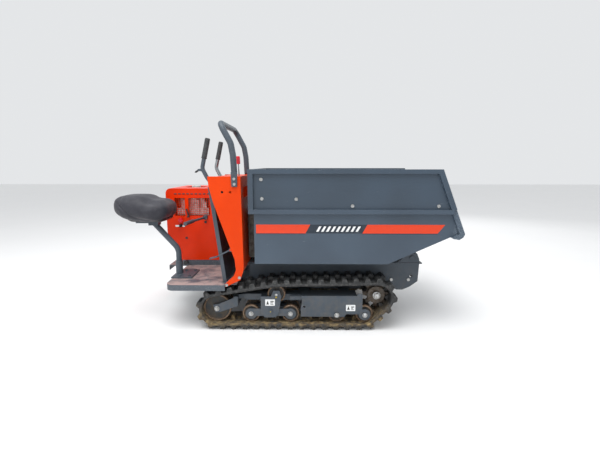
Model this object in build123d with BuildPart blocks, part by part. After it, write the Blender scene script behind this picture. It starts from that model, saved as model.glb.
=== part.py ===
"""Tracked power wheelbarrow: a ride-on mini dumper with a forward-tipping bucket.

Millimetres. +X runs forward to the bucket's lip, +Y to the machine's left, +Z up.
The origin is on the ground, below the middle of the machine.
"""
import math
import os

from build123d import *

os.makedirs("parts", exist_ok=True)

# Driving dimensions
half_width = 380.0
sheet = 3.0
plate = 8.0
rest_gap = 0.3
run_gap = 0.05

# Rubber track
belt_width = 180.0
belt_mid = 286.0
link_pitch = 60.0
link_count = 37
carcass = 14.0
tread_lug = 20.0
tread_lug_base = 36.0
tread_lug_top = 22.0
guide_lug = 20.0
guide_lug_length = 26.0
guide_lug_inner = 10.0
guide_lug_outer = 22.0
pitch_line = 6.8
sprocket_radius = 69.6
sprocket_teeth = 8
sprocket_half = 8.5
sprocket_x, sprocket_z = 495.0, 176.0
idler_radius = 74.0
roller_radius = 46.4
top_roller_radius = 47.6
top_roller_x, top_roller_z = -35.0, 187.0
bogie_x, bogie_z = -65.0, 96.6
bogie_reach = 104.3
fixed_roller_rear_x, fixed_roller_front_x = 283.0, 430.0
roller_disc_in, roller_disc_out = 33.0, 56.0
idler_disc_in, idler_disc_out = 25.0, 50.0
roller_axle = 12.0
top_axle = 7.5
idler_axle = 14.0
belt_floor = carcass + tread_lug
roller_z = belt_floor + roller_radius
idler_z = belt_floor + idler_radius

# Track frame
beam_half = 30.0
beam_low, beam_high = 146.0, 179.0
beam_rear, beam_front = -207.0, 388.0
beam_wall = 4.0
cheek_in, cheek_out = 66.0, 72.0
arm_plate_in, arm_plate_out = 58.0, 64.0
fork_in, fork_out = 53.0, 63.0

# Chassis
rail_out = 180.0
rail_rear, deck_rear, rail_front = -198.0, -610.0, 757.0
rail_low, rail_high = 165.0, 314.0
strip_half = 3.0
tie_hole = 8.0
tie_x, tie_z = 714.0, 240.0

# Bucket
tub_rear, floor_end, lip_x = -144.0, 540.6, 921.0
floor_z, ramp_end_x, ramp_end_z = 354.0, 859.0, 498.5
lip_z, board_top, board_front = 515.0, 838.0, 793.6
tub_flange_low, tub_flange_high = 615.7, 638.5
tub_side = 358.0
wall = 4.0
board_side = 364.0
board_rear = -170.0
board_flange = 22.0
pivot_x, pivot_z = 715.0, 345.0
pivot_pin = 12.5
tip_arm = 55.0

# Tipping cylinder
cylinder_base_x, cylinder_base_z = 283.0, 223.0
barrel_radius, barrel_length = 30.0, 222.0
rod_radius = 17.0
eye_radius, eye_half = 15.0, 18.0

# Operator's station
platform_top, platform_lip = 246.0, 31.0
platform_rear, platform_front = -611.0, -290.0
deck_edge = 22.0
seat_x, seat_y = -594.0, -185.0
post_radius = 15.0
console_right, console_left = -368.0, 63.0
console_front, console_top = -204.0, 803.0
lever_radius, grip_radius = 10.5, 14.0
lever_pivot_x, lever_pivot_z = -345.0, 735.0
lever_right_y, lever_left_y = -314.0, -4.0
bar_radius = 15.5

# Engine bay
hood_rear, hood_front = -727.0, -390.0
hood_low, hood_high, hood_left = 279.0, 720.0, 376.0
hood_radius = 30.0


def at_y(y):
    """Sketch plane facing -Y at the given Y, with X to the right and Z up."""
    return Plane.XZ.offset(-y)


def outline(points, y):
    """Closed polygon of (X, Z) points on the plane at Y."""
    with BuildSketch(at_y(y)) as profile:
        with BuildLine():
            Polyline(*points, close=True)
        make_face()
    return profile.sketch


def slab(points, y_low, y_high, mode=Mode.ADD):
    """Plate of an (X, Z) outline between two Y values."""
    extrude(outline(points, y_high), amount=y_high - y_low, dir=(0, -1, 0), mode=mode)


def block(x, y, z, mode=Mode.ADD):
    """Box from (low, high) pairs."""
    centre = [(low + high) / 2 for low, high in (x, y, z)]
    with Locations(Location(tuple(centre))):
        Box(x[1] - x[0], y[1] - y[0], z[1] - z[0], mode=mode)


def cross_bar(x, z, y_low, y_high, radius, mode=Mode.ADD):
    """Cylinder along Y."""
    with Locations(Location((x, y_high, z), (90, 0, 0))):
        Cylinder(radius, y_high - y_low, align=(Align.CENTER, Align.CENTER, Align.MIN), mode=mode)


def bar(start, end, radius, mode=Mode.ADD):
    """Cylinder between two points."""
    run = Vector(*end) - Vector(*start)
    with BuildSketch(Plane(origin=start, z_dir=run)) as section:
        Circle(radius)
    extrude(section.sketch, amount=run.length, mode=mode)


def bent_tube(points, bends, radius):
    """Round bar swept along straight runs joined by bends."""
    with BuildLine() as route:
        FilletPolyline(*points, radius=bends)
    with BuildSketch(Plane(origin=route.line @ 0, z_dir=route.line % 0)) as section:
        Circle(radius)
    sweep(sections=section.sketch, path=route.line)


def save(name, piece):
    piece.label = name
    export_step(piece, f"parts/{name}.step")


def save_pair(name, piece):
    """Right-hand piece and its mirror image."""
    save(f"{name}_right", piece)
    save(f"{name}_left", mirror(piece, about=Plane.XZ))


def inboard(offset):
    """Y of a point on the right-hand track, offset outwards from the belt's middle."""
    return -belt_mid - offset


def wheels(idler_x):
    """Wheels that the belt wraps, in order round the loop: centre and radius."""
    return [
        (idler_x, idler_z, idler_radius),
        (fixed_roller_front_x, roller_z, roller_radius),
        (sprocket_x, sprocket_z, sprocket_radius),
        (top_roller_x, top_roller_z, top_roller_radius),
    ]


def loop_runs(idler_x, grow):
    """Straight runs and arcs of a loop that stands off the wheels by grow."""
    circles = [(x, z, r + grow) for x, z, r in wheels(idler_x)]
    turns = []
    for (x0, z0, r0), (x1, z1, r1) in zip(circles, circles[1:] + circles[:1]):
        reach = math.hypot(x1 - x0, z1 - z0)
        turns.append(math.atan2(z1 - z0, x1 - x0) - math.acos((r0 - r1) / reach))
    runs = []
    for k, (x0, z0, r0) in enumerate(circles):
        x1, z1, r1 = circles[(k + 1) % len(circles)]
        out = (math.cos(turns[k]), math.sin(turns[k]))
        start = (x0 + r0 * out[0], z0 + r0 * out[1])
        end = (x1 + r1 * out[0], z1 + r1 * out[1])
        runs.append(("line", start, end, math.dist(start, end)))
        turn = (turns[(k + 1) % len(circles)] - turns[k]) % math.tau
        runs.append(("arc", (x1, z1, r1), (turns[k], turn), r1 * turn))
    return runs


def solve_idler():
    """Idler X at which the pitch line is a whole number of links long."""
    low, high = -700.0, -100.0
    for _ in range(60):
        middle = (low + high) / 2
        length = sum(run[3] for run in loop_runs(middle, pitch_line))
        if length > link_count * link_pitch:
            low = middle
        else:
            high = middle
    return middle


idler_x = solve_idler()


def loop_sketch(grow, y):
    """Face inside a loop that stands off the wheels by grow."""
    with BuildSketch(at_y(y)) as profile:
        with BuildLine():
            for kind, first, second, _ in loop_runs(idler_x, grow):
                if kind == "line":
                    Line(first, second)
                else:
                    start, turn = second
                    CenterArc(first[:2], first[2], math.degrees(start), math.degrees(turn))
        make_face()
    return profile.sketch


def stations(shift, grow):
    """Places, one per link, along the pitch line, moved out to a loop at grow."""
    runs = loop_runs(idler_x, pitch_line)
    total = sum(run[3] for run in runs)
    places = []
    for k in range(link_count):
        along = ((k + shift) * total / link_count) % total
        for kind, first, second, length in runs:
            if along < length:
                break
            along -= length
        if kind == "line":
            heading = math.atan2(second[1] - first[1], second[0] - first[0])
            x = first[0] + along * math.cos(heading)
            z = first[1] + along * math.sin(heading)
        else:
            swept = second[0] + along / first[2]
            heading = swept + math.pi / 2
            x = first[0] + first[2] * math.cos(swept)
            z = first[1] + first[2] * math.sin(swept)
        out = grow - pitch_line
        x += out * math.sin(heading)
        z -= out * math.cos(heading)
        places.append(Location((x, z, 0), math.degrees(heading)))
    return places


def lug_sketch(places, base, top, height, y):
    """One trapezoid per place, standing out of the loop, its foot sunk into the belt."""
    foot = carcass / 2
    with BuildSketch(at_y(y)) as profile:
        with Locations(*places):
            Polygon(
                (-base / 2, foot), (-base / 2, 0), (-top / 2, -height),
                (top / 2, -height), (base / 2, 0), (base / 2, foot), align=None,
            )
    return profile.sketch


# Rubber belt: carcass, two staggered rows of tread lugs and two rows of guide lugs
with BuildPart() as track_belt:
    belt_inner, belt_outer = inboard(-belt_width / 2), inboard(belt_width / 2)
    extrude(loop_sketch(carcass, belt_inner), amount=belt_width, dir=(0, -1, 0))
    extrude(loop_sketch(0, belt_inner), amount=belt_width, dir=(0, -1, 0), mode=Mode.SUBTRACT)
    row_width = belt_width / 2 - 2
    for shift, offset in ((0, -belt_width / 2), (0.5, 2)):
        row = lug_sketch(stations(shift, carcass), tread_lug_base, tread_lug_top, tread_lug,
                         inboard(offset))
        extrude(row, amount=row_width, dir=(0, -1, 0))
    for offset in (guide_lug_inner, -guide_lug_outer):
        back = [place * Location((0, 0, 0), 180) for place in stations(0.25, 0)]
        row = lug_sketch(back, guide_lug_length, guide_lug_length / 2, guide_lug, inboard(offset))
        extrude(row, amount=guide_lug_outer - guide_lug_inner, dir=(0, -1, 0))
save_pair("track_belt", track_belt.part)

# Drive sprocket: toothed plate on a hub that sits on the motor's shaft
shaft_radius = 16.0
hub_in, hub_out = -20.0, 22.0
tooth_root = sprocket_radius - guide_lug
with BuildPart() as drive_sprocket:
    tooth_tip = sprocket_radius - rest_gap
    half_root, half_tip = math.pi / sprocket_teeth * 0.62, math.pi / sprocket_teeth * 0.3
    with BuildSketch(at_y(inboard(-sprocket_half))) as profile:
        with Locations((sprocket_x, sprocket_z)):
            Circle(tooth_root)
            with PolarLocations(0, sprocket_teeth):
                Polygon(
                    (0, -tooth_root * math.tan(half_root)), (tooth_root, -tooth_root * half_root),
                    (tooth_tip * math.cos(half_tip), -tooth_tip * math.sin(half_tip)),
                    (tooth_tip * math.cos(half_tip), tooth_tip * math.sin(half_tip)),
                    (tooth_root, tooth_root * half_root), (0, tooth_root * math.tan(half_root)),
                    align=None,
                )
    extrude(profile.sketch, amount=2 * sprocket_half, dir=(0, -1, 0))
    cross_bar(sprocket_x, sprocket_z, inboard(hub_out), inboard(hub_in), 34)
    cross_bar(sprocket_x, sprocket_z, inboard(hub_out + 8), inboard(hub_out), 46)
    cross_bar(sprocket_x, sprocket_z, inboard(hub_out + 20), inboard(hub_out), 13)
    cross_bar(sprocket_x, sprocket_z, inboard(hub_out), inboard(hub_in), shaft_radius + run_gap,
              mode=Mode.SUBTRACT)
save_pair("drive_sprocket", drive_sprocket.part)


def wheel_pair(x, z, radius, disc_in, disc_out, axle, axle_end):
    """Two dished discs on one axle, for the right-hand track."""
    rim, dish, web_hub = 9.0, 5.0, 22.0
    with BuildPart() as wheel:
        cross_bar(x, z, inboard(axle_end), inboard(-axle_end), axle)
        for low, high in ((disc_in, disc_out), (-disc_out, -disc_in)):
            cross_bar(x, z, inboard(high), inboard(low), radius - rest_gap)
            face = inboard(disc_out) if low > 0 else inboard(-disc_out) - dish
            cross_bar(x, z, face, face + dish, radius - rim, mode=Mode.SUBTRACT)
            cross_bar(x, z, face, face + dish, web_hub)
    return wheel.part


axle_end = arm_plate_out + 1
bogie_rear_x, bogie_front_x = bogie_x - bogie_reach, bogie_x + bogie_reach
for name, x in (
    ("bogie_roller_rear", bogie_rear_x),
    ("bogie_roller_front", bogie_front_x),
    ("fixed_roller_rear", fixed_roller_rear_x),
    ("fixed_roller_front", fixed_roller_front_x),
):
    roller = wheel_pair(x, roller_z, roller_radius, roller_disc_in, roller_disc_out,
                        roller_axle, axle_end)
    save_pair(name, roller)
top_roller = wheel_pair(top_roller_x, top_roller_z, top_roller_radius, roller_disc_in,
                        roller_disc_out, top_axle, cheek_out)
save_pair("top_roller", top_roller)
idler_wheel = wheel_pair(idler_x, idler_z, idler_radius, idler_disc_in, idler_disc_out,
                         idler_axle, fork_out + 4)
save_pair("idler_wheel", idler_wheel)

# Bogie arm: rocking beam between the two bogie rollers
arm_half, bogie_pin = 24.0, 10.0
with BuildPart() as bogie_arm:
    low, high = bogie_z - 28, bogie_z + 11
    slab(
        [(bogie_rear_x - 20, low), (bogie_front_x + 20, low), (bogie_front_x + 20, high - 10),
         (bogie_front_x, high), (bogie_rear_x, high), (bogie_rear_x - 20, high - 10)],
        inboard(arm_half), inboard(-arm_half),
    )
    cross_bar(bogie_x, bogie_z, inboard(arm_plate_out), inboard(-arm_plate_out), 17)
    for low, high in ((arm_plate_in, arm_plate_out), (-arm_plate_out, -arm_plate_in)):
        slab(
            [(bogie_rear_x, roller_z - 12), (bogie_front_x, roller_z - 12),
             (bogie_front_x, roller_z + 27), (bogie_rear_x, roller_z + 27)],
            inboard(high), inboard(low),
        )
        for x in (bogie_rear_x, bogie_front_x):
            cross_bar(x, roller_z, inboard(high), inboard(low), 29)
    cross_bar(bogie_x, bogie_z, inboard(cheek_in), inboard(-cheek_in), bogie_pin + run_gap,
              mode=Mode.SUBTRACT)
    for x in (bogie_rear_x, bogie_front_x):
        cross_bar(x, roller_z, inboard(cheek_in), inboard(-cheek_in), roller_axle + run_gap,
                  mode=Mode.SUBTRACT)
save_pair("bogie_arm", bogie_arm.part)

# Tension fork: arms each side of the idler on a stem that slides in the beam
stem_gap = 0.4
crown_rear, crown_front = idler_x + idler_radius + 16, idler_x + idler_radius + 38
with BuildPart() as tension_fork:
    for low, high in ((fork_in, fork_out), (-fork_out, -fork_in)):
        slab(
            [(idler_x - 18, idler_z + 20), (idler_x - 10, idler_z - 20), (idler_x + 14, idler_z - 20),
             (crown_front, 122), (crown_front, 166), (crown_rear, 166), (idler_x + 8, idler_z + 24)],
            inboard(high), inboard(low),
        )
    block((crown_rear, crown_front), (inboard(fork_out), inboard(-fork_out)), (122, 174))
    stem = beam_wall + stem_gap
    block((crown_front - 1, beam_rear + 90), (inboard(beam_half - stem), inboard(stem - beam_half)),
          (beam_low + stem, beam_high - stem))
    cross_bar(idler_x, idler_z, inboard(fork_out + 1), inboard(-fork_out - 1),
              idler_axle + run_gap, mode=Mode.SUBTRACT)
save_pair("tension_fork", tension_fork.part)

# Track frame: hollow beam, cheeks for the bogie and top roller, hangers for the fixed rollers
cheek_rear, cheek_front = -116.0, -22.0
with BuildPart() as track_frame:
    block((beam_rear, beam_front), (inboard(beam_half), inboard(-beam_half)), (beam_low, beam_high))
    inner = beam_half - beam_wall
    block((beam_rear, beam_rear + 120), (inboard(inner), inboard(-inner)),
          (beam_low + beam_wall, beam_high - beam_wall), mode=Mode.SUBTRACT)
    for low, high in ((cheek_in, cheek_out), (-cheek_out, -cheek_in)):
        slab(
            [(cheek_rear, bogie_z - 6), (cheek_rear + 20, bogie_z - 33), (cheek_front - 16, bogie_z - 33),
             (cheek_front, bogie_z - 6), (cheek_front + 14, 178), (cheek_front + 4, 210),
             (cheek_front - 28, 210), (cheek_front - 40, 178), (cheek_rear, 178)],
            inboard(high), inboard(low),
        )
    for low, high in ((beam_half, cheek_in), (-cheek_in, -beam_half)):
        block((cheek_rear, cheek_rear + 28), (inboard(high), inboard(low)), (beam_low, 178))
    cross_bar(bogie_x, bogie_z, inboard(cheek_out + 6), inboard(-cheek_out - 2), bogie_pin)
    cross_bar(top_roller_x, top_roller_z, inboard(cheek_out + 1), inboard(-cheek_out - 1),
              top_axle + run_gap, mode=Mode.SUBTRACT)
    hanger_low = roller_z - 15
    slab(
        [(fixed_roller_rear_x - 34, beam_low), (fixed_roller_rear_x - 18, hanger_low),
         (fixed_roller_rear_x + 18, hanger_low), (fixed_roller_rear_x + 34, beam_low)],
        inboard(arm_half), inboard(-arm_half),
    )
    slab(
        [(beam_front - 20, beam_low), (fixed_roller_front_x - 20, hanger_low),
         (fixed_roller_front_x + 18, hanger_low), (fixed_roller_front_x + 18, roller_z + 22),
         (beam_front + 29, 122), (beam_front + 29, beam_low + 12), (beam_front - 20, beam_low + 12)],
        inboard(arm_half), inboard(-arm_half),
    )
    for x in (fixed_roller_rear_x, fixed_roller_front_x):
        cross_bar(x, roller_z, inboard(arm_half + 1), inboard(-arm_half - 1),
                  roller_axle + run_gap, mode=Mode.SUBTRACT)
    for x in (80.0, 300.0):
        block((x, x + 60), (inboard(-beam_half), -rail_out), (beam_low + 2, beam_high - 2))
save_pair("track_frame", track_frame.part)

# Guard over the tension screw and the fixed rollers
guard_rear, guard_front = 100.0, 389.0
with BuildPart() as track_guard:
    slab(
        [(guard_rear, beam_high + 3), (guard_rear, 141), (guard_rear - 6, 120), (guard_rear - 6, 69),
         (325, 69), (332, 83), (400, 83), (417, 79), (417, 195), (guard_front, 195),
         (guard_front, beam_high + 3)],
        inboard(cheek_out), inboard(cheek_in + 2),
    )
    block((guard_rear, guard_front), (inboard(cheek_out), inboard(-beam_half)),
          (beam_high, beam_high + 3))
    cross_bar(fixed_roller_front_x, roller_z, inboard(cheek_out), inboard(cheek_in + 2), 30)
    for x in (fixed_roller_rear_x, fixed_roller_front_x):
        cross_bar(x, roller_z, inboard(cheek_out + 7), inboard(cheek_out), 9)
    cross_bar(112, 123, inboard(cheek_out + 1), inboard(cheek_in), 6, mode=Mode.SUBTRACT)
    bar((36, inboard(48), 165), (guard_rear + 20, inboard(48), 165), 13.7)
    block((guard_rear, guard_rear + 12), (inboard(cheek_in + 2), inboard(beam_half)), (146, beam_high))
save_pair("track_guard", track_guard.part)

# Travel motor: hydraulic motor and reduction, bolted through the chassis side plate
motor_radius, motor_flange = 48.0, 60.0
with BuildPart() as travel_motor:
    cross_bar(sprocket_x, sprocket_z, -262, -100, motor_radius)
    cross_bar(sprocket_x, sprocket_z, -rail_out - plate, -rail_out, motor_flange)
    cross_bar(sprocket_x, sprocket_z, inboard(hub_out), -262, shaft_radius)
save_pair("travel_motor", travel_motor.part)

# Chassis: two side plates, cross plates and a rest strip on top, with ears for the bucket's pins
side_in = rail_out - plate
strip_top = rail_high + strip_half
with BuildPart() as chassis_frame:
    side = [
        (rail_rear, rail_low), (632, rail_low), (632, 160), (668, 160), (707, 177), (752, 210),
        (rail_front, rail_high), (756, 339), (743, 370), (690, 370), (632, rail_high),
        (rail_rear, rail_high),
    ]
    for low, high in ((-rail_out, -side_in), (side_in, rail_out)):
        slab(side, low, high)
        cross_bar(sprocket_x, sprocket_z, low, high, motor_radius + rest_gap, mode=Mode.SUBTRACT)
        cross_bar(tie_x, tie_z, low, high, tie_hole, mode=Mode.SUBTRACT)
        slab(
            [(deck_rear, 197), (rail_rear, 177), (rail_rear, rail_high - 84), (rail_rear - 90, 215),
             (deck_rear, 215)],
            low, high,
        )
    for x in (rail_rear, 80.0, 400.0, 738.0):
        block((x, x + plate), (-side_in, side_in), (rail_low + 45, rail_high))
    block((399, 401 + plate), (-45, 45), (225, rail_high + 1), mode=Mode.SUBTRACT)
    block((deck_rear, deck_rear + plate), (-side_in, side_in), (197, 215))
    for low, high in ((-rail_out - 2, -118), (118, rail_out + 2)):
        block((rail_rear - 14, 772), (low, high), (rail_high - strip_half, strip_top))
    for low, high in ((-42, -32), (32, 42)):
        x = cylinder_base_x
        slab(
            [(x - 32, 180), (x + 32, 180), (x + 20, cylinder_base_z + 16), (x - 20, cylinder_base_z + 16)],
            low, high,
        )
    block((88, 400), (-60, 60), (172, 182))
    block((88, 96), (-60, 60), (172, 230))
    block((392, 400), (-60, 60), (172, 224))
    cross_bar(cylinder_base_x, cylinder_base_z, -44, 44, pivot_pin)
    for low, high in ((-186, -147), (147, 186)):
        cross_bar(pivot_x, pivot_z, low, high, pivot_pin)
save("chassis_frame", chassis_frame.part)

# Tipping cylinder: barrel on the chassis, rod with its eye between the bucket's lugs
eye_x = pivot_x - tip_arm * math.cos(math.radians(55))
eye_z = pivot_z + tip_arm * math.sin(math.radians(55))
reach = math.hypot(eye_x - cylinder_base_x, eye_z - cylinder_base_z)
along = ((eye_x - cylinder_base_x) / reach, (eye_z - cylinder_base_z) / reach)


def on_cylinder(distance):
    """Point on the cylinder's centre line, measured from its base pin."""
    return (cylinder_base_x + distance * along[0], 0, cylinder_base_z + distance * along[1])


rod_hidden = 60.0
with BuildPart() as cylinder_barrel:
    bar(on_cylinder(26), on_cylinder(barrel_length), barrel_radius)
    cross_bar(cylinder_base_x, cylinder_base_z, -31.7, 31.7, 22)
    bar(on_cylinder(0), on_cylinder(30), 18)
    bar(on_cylinder(barrel_length - rod_hidden - 90), on_cylinder(barrel_length), rod_radius + run_gap,
        mode=Mode.SUBTRACT)
    cross_bar(cylinder_base_x, cylinder_base_z, -33, 33, pivot_pin + run_gap, mode=Mode.SUBTRACT)
    port = on_cylinder(barrel_length - 24)
    bar((port[0], 0, port[2] - barrel_radius + 2), (port[0], 0, port[2] - barrel_radius - 14), 9)
save("cylinder_barrel", cylinder_barrel.part)
with BuildPart() as cylinder_rod:
    bar(on_cylinder(barrel_length - rod_hidden), on_cylinder(reach - 6), rod_radius)
    cross_bar(eye_x, eye_z, -eye_half, eye_half, eye_radius)
    cross_bar(eye_x, eye_z, -eye_half, eye_half, 8, mode=Mode.SUBTRACT)
save("cylinder_rod", cylinder_rod.part)

# Bucket tub: floor, ramp, two sides and a rear wall with box flanges and a folded lip
side_front = (lip_x - board_front) / (board_top - lip_z)


def slope_x(z):
    """X of the sloping front edge at height Z."""
    return lip_x - (z - lip_z) * side_front


ramp_slope = (ramp_end_z - floor_z) / (ramp_end_x - floor_end)
rib_half = 250.0
with BuildPart() as bucket_tub:
    for low, high in ((-tub_side, wall - tub_side), (tub_side - wall, tub_side)):
        slab(
            [(tub_rear, floor_z), (floor_end, floor_z), (ramp_end_x, ramp_end_z),
             (894, ramp_end_z), (lip_x - 2, lip_z), (slope_x(tub_flange_high), tub_flange_high),
             (tub_rear, tub_flange_high)],
            low, high,
        )
        out_low, out_high = (low - 14, high) if low < 0 else (low, high + 14)
        slab(
            [(slope_x(tub_flange_high) - 28, tub_flange_high), (slope_x(tub_flange_high), tub_flange_high),
             (lip_x - 1, lip_z + 3), (lip_x - 29, lip_z + 3)],
            out_low, out_high,
        )
        block((tub_rear, slope_x(tub_flange_high) - 12),
              (low - 22 if low < 0 else low, high if low < 0 else high + 22),
              (tub_flange_low, tub_flange_high))
    block((tub_rear, floor_end), (-tub_side, tub_side), (floor_z, floor_z + wall))
    slab(
        [(floor_end, floor_z), (ramp_end_x, ramp_end_z), (ramp_end_x - 2, ramp_end_z + wall),
         (floor_end - 2, floor_z + wall)],
        -tub_side, tub_side,
    )
    slab(
        [(ramp_end_x - 4, ramp_end_z - 2), (ramp_end_x + 8, 489), (894, 485), (912, 496),
         (lip_x, lip_z - 3), (lip_x - 1, lip_z + 5), (lip_x - 14, lip_z + 7)],
        -tub_side - 14, tub_side + 14,
    )
    block((tub_rear, tub_rear + wall), (-tub_side, tub_side), (floor_z, tub_flange_high))
    block((board_rear, tub_rear), (-tub_side - 22, tub_side + 22), (tub_flange_low, tub_flange_high))
    for x in (0.0, 200.0, 400.0):
        block((x, x + 40), (-rib_half, rib_half), (floor_z - 22, floor_z))
    for low, high in ((-150, -120), (120, 150)):
        block((tub_rear, floor_end), (low, high), (strip_top + rest_gap, floor_z))
    for low, high in ((-162, -150), (150, 162)):
        slab(
            [(pivot_x - 150, floor_z + (pivot_x - 150 - floor_end) * ramp_slope + 1),
             (pivot_x - 60, pivot_z - 6), (pivot_x - 10, pivot_z - 24), (pivot_x + 12, pivot_z - 22),
             (pivot_x + 25, pivot_z), (pivot_x + 32, 445), (pivot_x, 428)],
            low, high,
        )
        cross_bar(pivot_x, pivot_z, low, high, pivot_pin + run_gap, mode=Mode.SUBTRACT)
    for low, high in ((-34, -24), (24, 34)):
        slab(
            [(eye_x - 60, floor_z + (eye_x - 60 - floor_end) * ramp_slope + 1), (eye_x - 16, eye_z - 14),
             (eye_x + 14, eye_z - 14), (eye_x + 24, floor_z + (eye_x + 24 - floor_end) * ramp_slope + 1)],
            low, high,
        )
        cross_bar(eye_x, eye_z, max(low, -24) - (4 if low > 0 else 0), low + 4 if low > 0 else -20, 9)
save("bucket_tub", bucket_tub.part)

# Extension boards: side and rear boards bolted on the tub's flange
board_low = tub_flange_high
with BuildPart() as extension_boards:
    front_top = board_front
    for low, high in ((-board_side, wall - board_side), (board_side - wall, board_side)):
        out_low, out_high = (low - 16, high) if low < 0 else (low, high + 16)
        slab(
            [(board_rear, board_low), (slope_x(board_low) - 2, board_low), (front_top, board_top),
             (board_rear, board_top)],
            low, high,
        )
        block((board_rear, front_top), (out_low, out_high), (board_top - board_flange, board_top))
        slab(
            [(slope_x(board_low) - 28, board_low), (slope_x(board_low), board_low),
             (front_top, board_top), (front_top - 28, board_top)],
            out_low, out_high,
        )
        block((board_rear, board_rear + 26), (out_low, out_high), (board_low, board_top))
    block((board_rear, board_rear + wall), (-board_side, board_side), (board_low, board_top))
    block((board_rear, board_rear + 24), (-board_side, board_side), (board_top - board_flange, board_top))
save("extension_boards", extension_boards.part)

# Bolts of the bucket: domed heads on the boards and the tub's flange
head_radius, head_height = 8.5, 6.0
board_bolts = [(-104, 788), (-101, 692), (71, 690), (353, 656), (783, 656)]
with BuildPart() as bucket_bolts:
    for x, z in board_bolts:
        for side in (-1, 1):
            face = side * board_side
            low, high = sorted((face, face + side * head_height))
            cross_bar(x, z, low, high, head_radius)
            low, high = sorted((face - side * wall, face - side * (wall + head_height)))
            cross_bar(x, z, low, high, head_radius)
save("bucket_bolts", bucket_bolts.part)

# Platform: folded deck plate with a lip, a tongue for the console and the engine's deck
lip_low = platform_top - platform_lip
tread_front = -240.0
with BuildPart() as platform:
    with BuildSketch(Plane.XY.offset(lip_low)) as deck:
        with Locations(((platform_rear + platform_front) / 2, (deck_edge - half_width) / 2)):
            Rectangle(platform_front - platform_rear, deck_edge + half_width)
        corner = deck.vertices().sort_by(lambda v: v.X + v.Y)[0]
        fillet(corner, 45)
    extrude(deck.sketch, amount=platform_lip)
    with BuildSketch(Plane.XY.offset(lip_low)) as hollow:
        with Locations(((platform_rear + platform_front) / 2, (deck_edge - half_width) / 2)):
            Rectangle(platform_front - platform_rear - 2 * sheet, deck_edge + half_width - 2 * sheet)
        corner = hollow.vertices().sort_by(lambda v: v.X + v.Y)[0]
        fillet(corner, 45 - sheet)
    extrude(hollow.sketch, amount=platform_lip - sheet - 1, mode=Mode.SUBTRACT)
    block((-470, platform_front + 1), (-half_width + sheet, deck_edge + 1), (lip_low - 1, 240),
          mode=Mode.SUBTRACT)
    block((-470, platform_front), (deck_edge - sheet, deck_edge), (232, platform_top))
    slab(
        [(-300, 242), (-290, 242), (-222, 274), (-207, 316), (-236, 316), (-252, 292), (-300, 252)],
        console_right + sheet, console_right + 2 * sheet,
    )
    block((platform_front - 9, platform_front + 1), (-half_width - 1, console_right + sheet),
          (lip_low - 1, platform_top + 1), mode=Mode.SUBTRACT)
    block((-565, -535), (-182, -170), (lip_low, platform_top - sheet))
    block((hood_rear, platform_front), (deck_edge, hood_left), (240, platform_top))
    block((platform_front, -215), (deck_edge, 190), (240, platform_top))
    block((platform_front, tread_front), (console_right + 2 * sheet, deck_edge),
          (platform_top - sheet, platform_top))
    block((hood_rear, hood_rear + 4), (deck_edge, hood_left), (lip_low, 240))
    block((-640, -400), (deck_edge, deck_edge + sheet), (platform_top, hood_low))
    block((-640, -400), (hood_left - sheet, hood_left), (platform_top, hood_low))
save("platform", platform.part)

# Seat: socket bolted on the deck, a bent post that swivels in it, and the saddle
socket_top = 327.0
with BuildPart() as seat_socket:
    block((seat_x - 22, seat_x + 92), (seat_y - 80, seat_y + 80), (platform_top, platform_top + 8))
    bar((seat_x, seat_y, platform_top), (seat_x, seat_y, socket_top), 19.5)
    bar((seat_x, seat_y, platform_top + 8), (seat_x, seat_y, socket_top), post_radius + run_gap,
        mode=Mode.SUBTRACT)
    for y in (-60, 60):
        for x in (20, 72):
            bar((seat_x + x, seat_y + y, platform_top + 8), (seat_x + x, seat_y + y, platform_top + 14), 8)
save("seat_socket", seat_socket.part)
post_top_x, post_top_z = -733.0, 550.0
pan_top = post_top_z + 6 + rest_gap
with BuildPart() as seat_post:
    bent_tube(
        [(seat_x, seat_y, platform_top + 8 + rest_gap), (seat_x, seat_y, 396),
         (post_top_x, seat_y, post_top_z + 2)],
        75, post_radius,
    )
    block((post_top_x - 110, post_top_x + 60), (seat_y - 80, seat_y + 80),
          (post_top_z - 20, pan_top + 30), mode=Mode.SUBTRACT)
    block((post_top_x - 62, post_top_x + 60), (seat_y - 70, seat_y + 70), (post_top_z, post_top_z + 6))
    block((post_top_x - 14, post_top_x + 40), (seat_y - 22, seat_y + 22), (post_top_z - 20, post_top_z + 1))
save("seat_post", seat_post.part)
saddle_half = 150.0
with BuildPart() as seat_cushion:
    with BuildSketch(at_y(seat_y + saddle_half)) as profile:
        with BuildLine():
            Spline((-921, 645), (-884, 694), (-790, 698), (-680, 680), (-588, 640))
            Polyline((-588, 640), (-584, 618), (-600, 600))
            Spline((-600, 600), (-640, 574), (-672, pan_top))
            Line((-672, pan_top), (-800, pan_top))
            Spline((-800, pan_top), (-884, 584), (-921, 645))
        make_face()
    extrude(profile.sketch, amount=2 * saddle_half, dir=(0, -1, 0))
save("seat_cushion", seat_cushion.part)

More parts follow.
